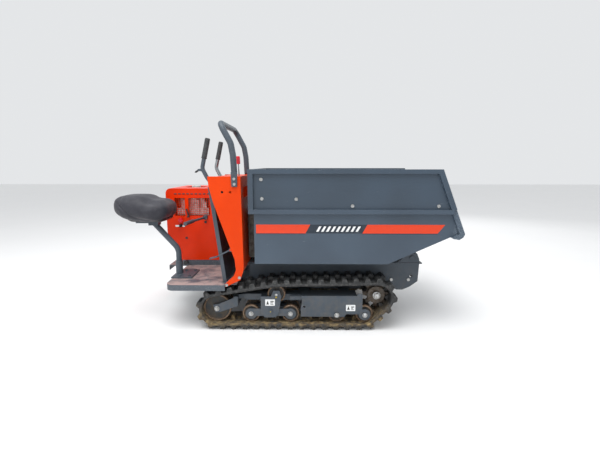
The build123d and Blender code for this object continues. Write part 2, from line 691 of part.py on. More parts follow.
# Console: right and left sheets, front sheet with its slot and top, rear cover
foot = [(-298, 250), (-298, 232), (-219, 270), (-203, 316), (-200, 345), (-207, console_top)]
back = [(-372, console_top), (-366, 748), (-348, 676), (-274, 460), (-246, 379), (-241, 322), (-253, 292)]
bar_bolts = [(-237, 790.5), (-236, 764.7)]
hole_radius = 6.0
pedal_pivot, pedal_y = (-266.0, 428.0), -348.0
with BuildPart() as console_side_right:
    slab(foot + back, console_right, console_right + sheet)
    for x, z in ((-300, 725), (-259, 725)):
        cross_bar(x, z, console_right - 1, console_right + sheet + 1, hole_radius, mode=Mode.SUBTRACT)
    cross_bar(*pedal_pivot, console_right + sheet - 1, pedal_y + 10, 5)
save("console_side_right", console_side_right.part)
with BuildPart() as console_side_left:
    slab([(-246, strip_top), (-203, strip_top), (-200, 345), (-207, console_top)] + back[:5],
         console_left - sheet, console_left)
save("console_side_left", console_side_left.part)
slot_low, slot_high = 690.0, 745.0
top_rear = -325.0
tip_lever_y = -250.0
with BuildPart() as console_front_panel:
    inside = (console_right + sheet, console_left - sheet)
    slab([(-206, strip_top), (-203, strip_top), (-204, 345), (-207, console_top), (-210, console_top),
          (-207, 345)], *inside)
    block((top_rear, -208), inside, (console_top - sheet, console_top))
    block((-220, -200), (-290, -20), (slot_low, slot_high), mode=Mode.SUBTRACT)
    block((-275, -212), (tip_lever_y - 8, tip_lever_y + 8), (console_top - 5, console_top + 1),
          mode=Mode.SUBTRACT)
    for y in (lever_right_y, lever_left_y):
        for side in (-1, 1):
            low, high = sorted((y + side * 15.3, y + side * 19.3))
            slab(
                [(lever_pivot_x - 14, lever_pivot_z - 12), (top_rear + 6, lever_pivot_z - 12),
                 (top_rear + 6, console_top - 1), (top_rear, console_top - 1),
                 (lever_pivot_x - 14, lever_pivot_z + 12)],
                low, high,
            )
        cross_bar(lever_pivot_x, lever_pivot_z, y - 20, y + 20, 6)
    for side in (-1, 1):
        low, high = sorted((tip_lever_y + side * 8.3, tip_lever_y + side * 12.3))
        slab([(-246, 766), (-216, 766), (-211, console_top - 2), (-252, console_top - 2)], low, high)
    cross_bar(-232, 776, tip_lever_y - 12, tip_lever_y + 12, 4)
save("console_front_panel", console_front_panel.part)
cover_right, cover_left = -337.0, 19.5
cover_flange = 20.0
with BuildPart() as console_rear_cover:
    line = [(-379, 748), (-315, platform_top + rest_gap)]
    slab(line + [(x + 4, z) for x, z in reversed(line)], cover_right, cover_left)
    for low, high in ((cover_right, cover_right + sheet), (cover_left - sheet, cover_left)):
        slab(line + [(x + cover_flange, z) for x, z in reversed(line)], low, high)
    block((-312, -296), (cover_right + sheet, cover_left - sheet), (platform_top + rest_gap, platform_top + 5))
save("console_rear_cover", console_rear_cover.part)

# Handlebar: one bent tube with flattened, bolted ends
bar_right, bar_left = console_right + 6.0, console_left - 6.0
with BuildPart() as handlebar:
    leg = [(-237, 812), (-241, 905), (-251, 965), (-303, 1063)]
    points = [(x, bar_right, z) for x, z in leg] + [(x, bar_left, z) for x, z in reversed(leg)]
    bent_tube(points, [60, 60, 45, 45, 60, 60], bar_radius)
    for low, high in ((console_right - plate, console_right), (console_left, console_left + plate)):
        slab([(-253, 824), (-251, 752), (-223, 752), (-221, 824)], low, high)
    for y in (bar_right, bar_left):
        cross_bar(-237, 818, y - 12, y + 12, 12)
save("handlebar", handlebar.part)


grip_low, grip_high = (-398.0, 891.0), (-376.0, 989.0)
lean = (grip_high[0] - grip_low[0]) / (grip_high[1] - grip_low[1])
knee_z = 842.0
knee_x = grip_low[0] - (grip_low[1] - knee_z) * lean


trigger_x, trigger_z, trigger_pin = -426.0, 834.0, 2.0


def steering_lever(y, foot_x, foot_z, top_x, top_z, ears):
    """Lever from its pivot inside the console to a round grip's seat."""
    with BuildPart() as lever:
        bent_tube([(lever_pivot_x, y, lever_pivot_z), (foot_x, y, foot_z), (knee_x, y, knee_z),
                   (top_x, y, top_z)], [40, 40], lever_radius)
        cross_bar(lever_pivot_x, lever_pivot_z, y - 15, y + 15, 14)
        cross_bar(lever_pivot_x, lever_pivot_z, y - 15, y + 15, 6 + run_gap, mode=Mode.SUBTRACT)
        for side in ears:
            low, high = sorted((y + side * 3.4, y + side * 6.4))
            slab([(-410, 827), (trigger_x - 5, 829), (trigger_x - 5, 839), (-410, 841)], low, high)
        if ears:
            cross_bar(trigger_x, trigger_z, y - 6, y + 6, trigger_pin)
    return lever.part


for name, y, ears in (("right", lever_right_y, (-1, 1)), ("left", lever_left_y, ())):
    save(f"steering_lever_{name}", steering_lever(y, -388, 800, *grip_high, ears))
    with BuildPart() as lever_grip:
        cap = (grip_high[0] + 4 * lean, y, grip_high[1] + 4)
        bar((grip_low[0], y, grip_low[1]), cap, grip_radius)
        bar((grip_low[0] - 40 * lean, y, grip_low[1] - 40), (grip_high[0], y, grip_high[1]),
            lever_radius + run_gap, mode=Mode.SUBTRACT)
    save(f"lever_grip_{name}", lever_grip.part)

# Trigger on the right lever: a finger tab on a pin in a small ear
with BuildPart() as lever_trigger:
    trigger_y = (lever_right_y - 3, lever_right_y + 3)
    cross_bar(trigger_x, trigger_z, *trigger_y, 5)
    slab([(trigger_x, trigger_z + 5), (-444, 828), (-448, 821), (-440, 820), (trigger_x, trigger_z - 5)],
         *trigger_y)
    cross_bar(trigger_x, trigger_z, *trigger_y, trigger_pin + run_gap, mode=Mode.SUBTRACT)
save("lever_trigger", lever_trigger.part)

# Tipping lever with its knob
with BuildPart() as tip_lever:
    bar((-232, tip_lever_y, 776), (-235, tip_lever_y, 872), 3.5)
    cross_bar(-232, 776, tip_lever_y - 8, tip_lever_y + 8, 8)
    cross_bar(-232, 776, tip_lever_y - 8, tip_lever_y + 8, 4 + run_gap, mode=Mode.SUBTRACT)
save("tip_lever", tip_lever.part)
with BuildPart() as tip_lever_knob:
    bar((-234.8, tip_lever_y, 864), (-236, tip_lever_y, 905), 10.5)
    fillet(tip_lever_knob.edges().filter_by(GeomType.CIRCLE), 5)
    bar((-232, tip_lever_y, 776), (-235, tip_lever_y, 872), 3.5, mode=Mode.SUBTRACT)
save("tip_lever_knob", tip_lever_knob.part)

# Foot pedal: pad on an arm that pivots on a pin of the right console sheet
with BuildPart() as foot_pedal:
    bar((pedal_pivot[0], pedal_y, pedal_pivot[1]), (-345, pedal_y, 387), 4)
    slab([(-376, 378), (-336, 388), (-338, 393), (-378, 384)], pedal_y - 14, pedal_y + 9)
    cross_bar(*pedal_pivot, pedal_y - 12, pedal_y + 8, 10)
    cross_bar(*pedal_pivot, pedal_y - 13, pedal_y + 9, 5 + run_gap, mode=Mode.SUBTRACT)
save("foot_pedal", foot_pedal.part)

# Engine hood: bent sheet with a round top edge, a grille opening and a filler hole
hood_profile = [(-651, hood_low), (hood_rear, 450), (hood_rear, hood_high), (hood_front, hood_high),
                (hood_front, hood_low)]
grille_x, grille_z = (-675.0, -463.0), (552.0, 661.0)
filler_x, filler_y, filler_opening = -588.0, 200.0, 70.0
throttle_x, throttle_z = -602.0, 592.0
stop_at, stop_stem = (-640.0, 528.0), 8.0


def hood_shape(inset, y_high):
    """Hood outline, drawn in by inset, with its two top edges rounded."""
    with BuildSketch(at_y(y_high)) as profile:
        with BuildLine():
            Polyline(
                (-651 + 1.2 * inset, hood_low), (hood_rear + inset, 450), (hood_rear + inset, hood_high - inset),
                (hood_front - inset, hood_high - inset), (hood_front - inset, hood_low), close=True,
            )
        make_face()
        fillet(profile.vertices().group_by(Axis.Y)[-1], hood_radius - inset)
    return profile.sketch


with BuildPart() as engine_hood:
    depth = hood_left - deck_edge
    extrude(hood_shape(0, hood_left), amount=depth, dir=(0, -1, 0))
    extrude(hood_shape(sheet, hood_left - sheet), amount=depth - 2 * sheet, dir=(0, -1, 0),
            mode=Mode.SUBTRACT)
    strip_low, strip_high = throttle_x - 10, throttle_x + 10
    for span in ((grille_x[0], strip_low), (strip_high, grille_x[1])):
        block(span, (deck_edge - 1, deck_edge + sheet + 1), grille_z, mode=Mode.SUBTRACT)
    bar((filler_x, filler_y, hood_high - 10), (filler_x, filler_y, hood_high + 10), filler_opening,
        mode=Mode.SUBTRACT)
    cross_bar(*stop_at, deck_edge - 1, deck_edge + sheet + 1, stop_stem + run_gap, mode=Mode.SUBTRACT)
    block((hood_rear + 20, hood_front - 4), (deck_edge + 20, hood_left - 20), (hood_low - 1, hood_low + 4),
          mode=Mode.SUBTRACT)
save("engine_hood", engine_hood.part)

# Engine: crankcase, finned cylinder, starter housing and muffler
with BuildPart() as engine:
    block((-640, -430), (90, 300), (platform_top, 270))
    block((-620, -450), (100, 290), (270, 400))
    cross_bar(-545, 440, 62, 120, 84)
    block((-600, -480), (120, 250), (390, 560))
    for z in range(440, 560, 16):
        block((-612, -468), (112, 258), (z, z + 6))
    bar((-545, 62, 440), (-545, 50, 440), 70)
    block((-700, -625), (150, 300), (470, 600))
    bar((-626, 190, 520), (-599, 190, 520), 14)
save("engine", engine.part)
with BuildPart() as fuel_tank:
    block((-690, -470), (110, 300), (604, 690))
    fillet(fuel_tank.edges().filter_by(Axis.Z), 28)
    bar((filler_x, filler_y, 688), (filler_x, filler_y, hood_high + 8), 28)
    block((-600, -560), (240, 252), (560, 605))
    block((-600, -560), (130, 142), (560, 605))
save("fuel_tank", fuel_tank.part)

# Controls on the hood
with BuildPart() as throttle_lever:
    x, z = throttle_x, throttle_z
    slab([(x - 4, z + 4), (x + 4, z + 4), (x + 16, z - 42), (x + 8, z - 44)], deck_edge - 9, deck_edge - 5)
    cross_bar(x, z, deck_edge - 9, deck_edge - rest_gap, 5)
    cross_bar(x + 12, z - 40, deck_edge - 26, deck_edge - 5, 6)
save("throttle_lever", throttle_lever.part)
brake_x, brake_z, brake_end = -488.0, 546.0, -200.0
with BuildPart() as parking_brake_lever:
    bar((brake_x, deck_edge - 12, brake_z), (brake_x - 44, brake_end + 90, brake_z - 6), 7)
    bar((brake_x - 42, brake_end + 96, brake_z - 6), (brake_x - 58, brake_end, brake_z - 8), 11)
    cross_bar(brake_x, brake_z, deck_edge - 22, deck_edge - rest_gap, 13)
save("parking_brake_lever", parking_brake_lever.part)
with BuildPart() as ignition_key:
    cross_bar(-641, 495, deck_edge - 10, deck_edge - rest_gap, 9)
    slab([(-644, 486), (-638, 486), (-638, 504), (-644, 504)], deck_edge - 30, deck_edge - 9)
save("ignition_key", ignition_key.part)
with BuildPart() as stop_button:
    cross_bar(*stop_at, deck_edge - 14, deck_edge - 6.3, 14)
    cross_bar(*stop_at, deck_edge - 7, deck_edge + sheet + 3, stop_stem)
save("stop_button", stop_button.part)
with BuildPart() as hood_latch_knob:
    cross_bar(-617, 265, deck_edge - 22, deck_edge - 6, 13)
    cross_bar(-617, 265, deck_edge - 7, deck_edge - rest_gap, 6)
save("hood_latch_knob", hood_latch_knob.part)

# Hydraulic tank behind the console and the finned cooler in front of it
with BuildPart() as oil_tank:
    block((-385, -215), (78, 188), (platform_top, 640))
    fillet(oil_tank.edges().filter_by(Axis.Z), 18)
    bar((-300, 133, 640), (-300, 133, 668), 24)
save("oil_tank", oil_tank.part)
with BuildPart() as oil_cooler:
    block((-196, -160), (-190, 50), (350, 600))
    for z in range(362, 596, 12):
        block((-200, -156), (-180, 40), (z, z + 4))
    for z in (400, 550):
        panel_face = console_front - (z + 20 - 345) * 3 / 458
        block((panel_face + 0.2, -195), (-60, -40), (z, z + 20))
save("oil_cooler", oil_cooler.part)

# Bolts of the frame and the console
with BuildPart() as frame_bolts:
    for x, z in ((-223, 284), (-290, 244.5)):
        cross_bar(x, z, console_right - head_height, console_right, head_radius - 1)
    for x, z in bar_bolts:
        cross_bar(x, z, -half_width, console_right - plate, 7)
        cross_bar(x, z, console_left + plate, console_left + plate + 4, 7)
    for x in (603, 699):
        for side in (-1, 1):
            low, high = sorted((side * rail_out, side * (rail_out + head_height)))
            cross_bar(x, 220, low, high, head_radius)
save("frame_bolts", frame_bolts.part)
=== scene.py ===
"""Tracked power wheelbarrow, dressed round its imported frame. Metres, +X forward, +Y left, +Z up."""
import math

import bmesh
import bpy
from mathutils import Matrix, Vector


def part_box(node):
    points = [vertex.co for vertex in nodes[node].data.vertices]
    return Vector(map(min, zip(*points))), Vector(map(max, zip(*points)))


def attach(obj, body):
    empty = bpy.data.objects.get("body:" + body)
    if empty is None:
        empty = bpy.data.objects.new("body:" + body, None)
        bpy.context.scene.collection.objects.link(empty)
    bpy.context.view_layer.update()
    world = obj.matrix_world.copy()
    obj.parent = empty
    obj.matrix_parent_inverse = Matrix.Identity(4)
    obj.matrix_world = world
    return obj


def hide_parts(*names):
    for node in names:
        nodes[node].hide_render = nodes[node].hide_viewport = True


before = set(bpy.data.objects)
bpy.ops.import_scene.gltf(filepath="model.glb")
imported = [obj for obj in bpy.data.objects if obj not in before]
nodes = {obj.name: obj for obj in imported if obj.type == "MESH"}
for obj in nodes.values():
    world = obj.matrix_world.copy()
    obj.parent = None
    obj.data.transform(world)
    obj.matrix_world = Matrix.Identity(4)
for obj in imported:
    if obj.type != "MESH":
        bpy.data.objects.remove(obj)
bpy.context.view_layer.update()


# --- Undercarriage arms, frames and guards ----------------------------------------------------
# Plates and tube of mild steel, cut, bent and welded, then powder coated in charcoal. The coat has a
# fine orange peel, holds dust low down and is rubbed pale along its edges. Bolted to the chassis.
MM = 0.001
PAIR = ("right", "left")
SIDES = (("right", -1), ("left", 1))


def colour_of(code):
    """sRGB hex to linear colour."""
    parts = [int(code[k:k + 2], 16) / 255 for k in (1, 3, 5)]
    return (*[c / 12.92 if c <= 0.04045 else ((c + 0.055) / 1.055) ** 2.4 for c in parts], 1.0)


def put(tree, kind, inputs, out=0, **settings):
    """Adds one node. Each input is a number, a hex colour or the output that feeds it."""
    made = tree.nodes.new(kind)
    for key, value in settings.items():
        setattr(made, key, value)
    for socket, value in inputs.items():
        if isinstance(value, bpy.types.NodeSocket):
            tree.links.new(value, made.inputs[socket])
        else:
            coded = isinstance(value, str) and value.startswith("#")
            made.inputs[socket].default_value = colour_of(value) if coded else value
    return made.outputs[out] if len(made.outputs) else made


NOISE, RANGE, MATHS, MIX = "ShaderNodeTexNoise", "ShaderNodeMapRange", "ShaderNodeMath", "ShaderNodeMix"
BUMP, SCALE, SPLIT = "ShaderNodeBump", "ShaderNodeMapping", "ShaderNodeSeparateXYZ"


def start_finish(name):
    """New material: the material, its tree and its coordinates in metres."""
    made = bpy.data.materials.new(name)
    made.use_nodes = True
    made.node_tree.nodes.clear()
    return made, made.node_tree, put(made.node_tree, "ShaderNodeTexCoord", {}, "Object")


def end_finish(made, tree, inputs):
    """Gives the material its shader, and returns it."""
    put(tree, "ShaderNodeOutputMaterial", {"Surface": put(tree, "ShaderNodeBsdfPrincipled", inputs)})
    return made


def rubbed_edges(tree, reach):
    """How much a sharp edge is rubbed, 0 to 1, within reach mm of it, and the softened normal."""
    soft = put(tree, "ShaderNodeBevel", {"Radius": reach * MM}, samples=3)
    true = put(tree, "ShaderNodeNewGeometry", {}, "Normal")
    alike = put(tree, "ShaderNodeVectorMath", {0: soft, 1: true}, "Value", operation="DOT_PRODUCT")
    return put(tree, RANGE, {0: alike, 1: 0.965, 2: 0.85}), soft


def powder_coat(name, base, shade, edge, dust, rough=0.42, dust_top=0.35, most=0.4, rub=0.7, gloss=0.4):
    """Powder coat: cloudy colour, dust thinning out up to dust_top metres, worn edges, orange peel."""
    made, tree, place = start_finish(name)
    worn, soft = rubbed_edges(tree, 1.8)
    cloud = put(tree, NOISE, {"Vector": place, "Scale": 6.0, "Detail": 3.0})
    cloud = put(tree, RANGE, {0: cloud, 1: 0.35, 2: 0.65})
    colour = put(tree, MIX, {0: cloud, 6: base, 7: shade}, 2, data_type="RGBA")
    grit = put(tree, NOISE, {"Vector": place, "Scale": 38.0, "Detail": 8.0, "Roughness": 0.7})
    grit = put(tree, RANGE, {0: grit, 1: 0.42, 2: 0.7})
    low = put(tree, RANGE, {0: put(tree, SPLIT, {0: place}, 2), 1: 0.0, 2: dust_top, 3: most, 4: most * 0.15})
    dirty = put(tree, MATHS, {0: grit, 1: low}, operation="MULTIPLY")
    colour = put(tree, MIX, {0: dirty, 6: colour, 7: dust}, 2, data_type="RGBA")
    along = put(tree, SCALE, {"Vector": place, "Scale": (0.25, 1.0, 1.5)})
    scuff = put(tree, NOISE, {"Vector": along, "Scale": 75.0, "Detail": 5.0, "Roughness": 0.6})
    scuff = put(tree, RANGE, {0: scuff, 1: 0.68, 2: 0.76, 3: 0.0, 4: 0.12})
    patch = put(tree, NOISE, {"Vector": place, "Scale": 110.0, "Detail": 4.0})
    patch = put(tree, RANGE, {0: patch, 1: 0.4, 2: 0.6, 3: 0.1, 4: rub})
    worn = put(tree, MATHS, {0: put(tree, MATHS, {0: worn, 1: patch}, operation="MULTIPLY"), 1: scuff},
               operation="MAXIMUM")
    colour = put(tree, MIX, {0: worn, 6: colour, 7: edge}, 2, data_type="RGBA")
    peel = put(tree, NOISE, {"Vector": place, "Scale": 450.0, "Detail": 2.0})
    return end_finish(made, tree, {
        "Base Color": colour,
        "Roughness": put(tree, RANGE, {0: dirty, 1: 0.0, 2: 0.4, 3: rough, 4: rough + 0.25}),
        "Normal": put(tree, BUMP, {"Height": peel, "Distance": 0.12 * MM, "Strength": 0.35, "Normal": soft}),
        "IOR": 1.5, "Specular IOR Level": gloss, "Coat Weight": 0.03, "Coat Roughness": 0.25})


def give(finish, *names):
    """Gives CAD nodes their finish."""
    for name in names:
        slots = nodes[name].data.materials
        slots.clear()
        slots.append(finish)


charcoal_coat = powder_coat("powder_coated_steel_charcoal", "#48515b", "#3f4851", "#858c93", "#70675a",
                            rough=0.45, dust_top=0.3, most=0.55)
motor_coat = powder_coat("painted_cast_iron_black", "#2a2d30", "#222528", "#66686a", "#5d4d3a",
                         rough=0.5, dust_top=0.3, most=0.85)
for side in PAIR:
    give(charcoal_coat, *[f"{name}_{side}" for name in
                          ("bogie_arm", "tension_fork", "track_frame", "track_guard")])
    give(motor_coat, f"travel_motor_{side}")


# --- Wheels -----------------------------------------------------------------------------------
# Each is a pair of cast discs pressed on one axle: a turned rim that runs bare on the rubber, a dished
# painted web and a hub. Mud films the rims brown and dries in the corners; the axle bolt is plated.
def muddy_steel(name, film, film_dark, clod_colour, bare):
    """Bare steel that runs in mud: brown film, rubbed pale edges, dried clods."""
    made, tree, place = start_finish(name)
    worn, soft = rubbed_edges(tree, 2.5)
    wet = put(tree, NOISE, {"Vector": place, "Scale": 45.0, "Detail": 8.0, "Roughness": 0.65})
    wet = put(tree, RANGE, {0: wet, 1: 0.35, 2: 0.65})
    clod = put(tree, NOISE, {"Vector": place, "Scale": 110.0, "Detail": 6.0, "Roughness": 0.7})
    clod = put(tree, RANGE, {0: clod, 1: 0.5, 2: 0.62, 3: 0.0, 4: 0.7})
    colour = put(tree, MIX, {0: wet, 6: film_dark, 7: film}, 2, data_type="RGBA")
    colour = put(tree, MIX, {0: clod, 6: colour, 7: clod_colour}, 2, data_type="RGBA")
    worn = put(tree, MATHS, {0: worn, 1: 0.7}, operation="MULTIPLY")
    colour = put(tree, MIX, {0: worn, 6: colour, 7: bare}, 2, data_type="RGBA")
    rough = put(tree, RANGE, {0: clod, 1: 0.0, 2: 0.7, 3: 0.42, 4: 0.85})
    lumps = put(tree, NOISE, {"Vector": place, "Scale": 200.0, "Detail": 6.0, "Roughness": 0.7})
    return end_finish(made, tree, {
        "Base Color": colour, "Roughness": rough, "Metallic": 0.5,
        "Normal": put(tree, BUMP, {"Height": lumps, "Distance": 0.7 * MM, "Strength": 0.6, "Normal": soft})})


def plated_steel(name, bright, dull, low, high, metal=1.0):
    """Bright metal, plated, bare or brassy, that dulls in faint clouds."""
    made, tree, place = start_finish(name)
    cloud = put(tree, NOISE, {"Vector": place, "Scale": 140.0, "Detail": 4.0})
    cloud = put(tree, RANGE, {0: cloud, 1: 0.35, 2: 0.65})
    fine = put(tree, NOISE, {"Vector": place, "Scale": 800.0, "Detail": 2.0})
    return end_finish(made, tree, {
        "Base Color": put(tree, MIX, {0: cloud, 6: bright, 7: dull}, 2, data_type="RGBA"), "Metallic": metal,
        "Roughness": put(tree, RANGE, {0: cloud, 3: low, 4: high}),
        "Normal": put(tree, BUMP, {"Height": fine, "Distance": 0.05 * MM, "Strength": 0.4})})


rim_steel = muddy_steel("muddy_turned_steel", "#8d755f", "#67503d", "#43342a", "#b8aa98")
sprocket_steel = muddy_steel("muddy_cast_sprocket", "#5f5850", "#47413b", "#5e4a34", "#8b847a")
hub_coat = powder_coat("painted_cast_wheel", "#33373a", "#282b2e", "#6e6f70", "#6d5c46", rough=0.5,
                       dust_top=0.3, most=0.9)
zinc = plated_steel("zinc_plated_steel", "#c4c6c8", "#97958e", 0.28, 0.5)
RIM, WEB, CAP = 0, 1, 2


def new_piece(name, fill, *materials, smooth_under=35):
    """Object at the origin whose bmesh fill(work) makes; edges over smooth_under degrees stay crisp."""
    work = bmesh.new()
    fill(work)
    bmesh.ops.recalc_face_normals(work, faces=work.faces)
    mesh = bpy.data.meshes.new(name)
    work.to_mesh(mesh)
    work.free()
    for material in materials:
        mesh.materials.append(material)
    mesh.shade_smooth()
    mesh.set_sharp_from_angle(angle=math.radians(smooth_under))
    made = bpy.data.objects.new(name, mesh)
    bpy.context.scene.collection.objects.link(made)
    return made


def turn_body(work, centre, profile, sides=48, axis=None):
    """Solid of revolution about axis (Y at first): profile rows are (along, radius, material)."""
    lay = (axis or Vector((0, 1, 0))).to_track_quat("Z", "X").to_matrix()
    rings = [[work.verts.new(lay @ Vector((radius * math.cos(math.tau * k / sides),
                                           radius * math.sin(math.tau * k / sides), along)) + centre)
              for k in range(sides)] for along, radius, _ in profile]
    for row, (one, two) in enumerate(zip(rings, rings[1:])):
        for k in range(sides):
            n = (k + 1) % sides
            work.faces.new((one[k], one[n], two[n], two[k])).material_index = profile[row][2]
    work.faces.new(rings[0]).material_index = profile[0][2]
    work.faces.new(rings[-1]).material_index = profile[-1][2]


def wheel(node, disc_in, disc_out, axle):
    """Paired discs that stand for a wheel's CAD node."""
    low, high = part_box(node)
    centre, radius, end = (low + high) / 2, (high.z - low.z) / 2, (high.y - low.y) / 2
    soft, rim, dish = 2.5 * MM, 9 * MM, 6 * MM
    hub = min(24 * MM, radius - 16 * MM)

    def fill(work):
        for way in (-1, 1):
            near, far = way * disc_in, way * disc_out
            turn_body(work, centre, [
                (near, axle, WEB), (near, radius - soft, RIM), (near + way * soft, radius, RIM),
                (far - way * soft, radius, RIM), (far, radius - soft, RIM), (far, radius - rim + soft, RIM),
                (far - way * dish, radius - rim, WEB), (far - way * dish, hub + soft, WEB),
                (far - way * soft, hub, WEB), (far, hub - soft, WEB), (far, axle, WEB)])
        turn_body(work, centre, [(-end, axle * 0.9, CAP), (MM - end, axle, CAP), (end - MM, axle, CAP),
                                 (end, axle * 0.9, CAP)], sides=24)
    made = new_piece(f"turned_{node}", fill, rim_steel, hub_coat, zinc)
    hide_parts(node)
    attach(made, node.replace("idler_wheel", "idler"))


for side in PAIR:
    wheel(f"idler_wheel_{side}", 25 * MM, 50 * MM, 14 * MM)
    wheel(f"top_roller_{side}", 33 * MM, 56 * MM, 7.5 * MM)
    for place in ("bogie_roller_rear", "bogie_roller_front", "fixed_roller_rear", "fixed_roller_front"):
        wheel(f"{place}_{side}", 33 * MM, 56 * MM, 12 * MM)
    give(sprocket_steel, f"drive_sprocket_{side}")


# --- Rubber tracks ----------------------------------------------------------------------------
# Moulded rubber over steel cords: a smooth band, two rows of chunky lugs half a link apart outside and
# pairs of guide lugs inside. Dust greys the lugs, and clay cakes the low run inside and out.
LINKS, PITCH_LINE, BAND = 37, 6.8 * MM, 14 * MM


def moulded_rubber(name, dark, grey, edge, clay, clay_dark):
    made, tree, place = start_finish(name)
    worn, soft = rubbed_edges(tree, 4.0)
    cloud = put(tree, NOISE, {"Vector": place, "Scale": 25.0, "Detail": 6.0})
    cloud = put(tree, RANGE, {0: cloud, 1: 0.35, 2: 0.65})
    colour = put(tree, MIX, {0: cloud, 6: dark, 7: grey}, 2, data_type="RGBA")
    worn = put(tree, MATHS, {0: worn, 1: 0.8}, operation="MULTIPLY")
    colour = put(tree, MIX, {0: worn, 6: colour, 7: edge}, 2, data_type="RGBA")
    film = put(tree, NOISE, {"Vector": place, "Scale": 80.0, "Detail": 8.0, "Roughness": 0.7})
    film = put(tree, RANGE, {0: film, 1: 0.52, 2: 0.7, 3: 0.0, 4: 0.35})
    colour = put(tree, MIX, {0: film, 6: colour, 7: edge}, 2, data_type="RGBA")
    cake = put(tree, NOISE, {"Vector": place, "Scale": 30.0, "Detail": 9.0, "Roughness": 0.7})
    cake = put(tree, RANGE, {0: cake, 1: 0.38, 2: 0.58})
    low = put(tree, RANGE, {0: put(tree, SPLIT, {0: place}, 2), 1: 0.05, 2: 0.15, 3: 0.9, 4: 0.0})
    cake = put(tree, MATHS, {0: cake, 1: low}, operation="MULTIPLY")
    inside = put(tree, RANGE, {0: put(tree, SPLIT, {0: place}, 2), 1: 0.014, 2: 0.034, 3: 0.12, 4: 1.0})
    cake = put(tree, MATHS, {0: cake, 1: inside}, operation="MULTIPLY")
    tint = put(tree, NOISE, {"Vector": place, "Scale": 55.0, "Detail": 5.0})
    mud = put(tree, MIX, {0: put(tree, RANGE, {0: tint, 1: 0.4, 2: 0.6}), 6: clay_dark, 7: clay}, 2,
              data_type="RGBA")
    colour = put(tree, MIX, {0: cake, 6: colour, 7: mud}, 2, data_type="RGBA")
    lumps = put(tree, NOISE, {"Vector": place, "Scale": 250.0, "Detail": 8.0, "Roughness": 0.7})
    return end_finish(made, tree, {
        "Base Color": colour, "Roughness": put(tree, RANGE, {0: cake, 3: 0.6, 4: 0.95}), "IOR": 1.52,
        "Normal": put(tree, BUMP, {"Height": lumps, "Distance": 0.8 * MM, "Strength": 0.7, "Normal": soft})})


track_rubber = moulded_rubber("moulded_track_rubber", "#191a1b", "#28292a", "#8e8e8a", "#94805a", "#604e35")


def loop_stations(side, grow, count, shift=0.0):
    """Places and headings evenly spaced round the belt's loop, grow outside its inner face."""
    stand = []
    for name in ("idler_wheel", "fixed_roller_front", "drive_sprocket", "top_roller"):
        low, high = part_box(f"{name}_{side}")
        stand.append(((low.x + high.x) / 2, (low.z + high.z) / 2, (high.z - low.z) / 2 + PITCH_LINE))
    turns = []
    for (x0, z0, r0), (x1, z1, r1) in zip(stand, stand[1:] + stand[:1]):
        turns.append(math.atan2(z1 - z0, x1 - x0) - math.acos((r0 - r1) / math.hypot(x1 - x0, z1 - z0)))
    runs = []
    for k, (x0, z0, r0) in enumerate(stand):
        x1, z1, r1 = stand[(k + 1) % 4]
        start = Vector((x0 + r0 * math.cos(turns[k]), z0 + r0 * math.sin(turns[k])))
        end = Vector((x1 + r1 * math.cos(turns[k]), z1 + r1 * math.sin(turns[k])))
        runs.append((start, end, None, (end - start).length))
        runs.append((Vector((x1, z1)), r1, turns[k], r1 * ((turns[(k + 1) % 4] - turns[k]) % math.tau)))
    total = sum(run[3] for run in runs)
    found = []
    for k in range(count):
        along = ((k + shift) * total / count) % total
        for first, second, begin, length in runs:
            if along < length:
                break
            along -= length
        if begin is None:
            way = (second - first).normalized()
            spot = first + way * along
            heading = math.atan2(way.y, way.x)
        else:
            swept = begin + along / second
            heading = swept + math.pi / 2
            spot = first + second * Vector((math.cos(swept), math.sin(swept)))
        out = grow - PITCH_LINE
        found.append((spot.x + out * math.sin(heading), spot.y - out * math.cos(heading), heading))
    return found


def copies_tree():
    """Copies a master piece to each point, turned by its 'turn' angles, as one mesh."""
    tree = bpy.data.node_groups.new("copies_on_points", "GeometryNodeTree")
    sockets = tree.interface
    sockets.new_socket("Points", in_out="INPUT", socket_type="NodeSocketGeometry")
    sockets.new_socket("Master piece", in_out="INPUT", socket_type="NodeSocketObject")
    sockets.new_socket("Size", in_out="INPUT", socket_type="NodeSocketFloat")
    sockets.new_socket("Finish", in_out="INPUT", socket_type="NodeSocketMaterial")
    sockets.new_socket("Mesh", in_out="OUTPUT", socket_type="NodeSocketGeometry")
    given = tree.nodes.new("NodeGroupInput").outputs
    angles = put(tree, "GeometryNodeInputNamedAttribute", {"Name": "turn"}, data_type="FLOAT_VECTOR")
    master = put(tree, "GeometryNodeObjectInfo", {"Object": given["Master piece"]}, "Geometry")
    dots = put(tree, "GeometryNodeMeshToPoints", {"Mesh": given["Points"]})
    copies = put(tree, "GeometryNodeInstanceOnPoints", {
        "Points": dots, "Instance": master, "Scale": given["Size"],
        "Rotation": put(tree, "FunctionNodeEulerToRotation", {0: angles})})
    joined = put(tree, "GeometryNodeRealizeInstances", {0: copies})
    done = put(tree, "GeometryNodeSetMaterial", {"Geometry": joined, "Material": given["Finish"]})
    put(tree, "NodeGroupOutput", {0: done})
    return tree


placing = copies_tree()


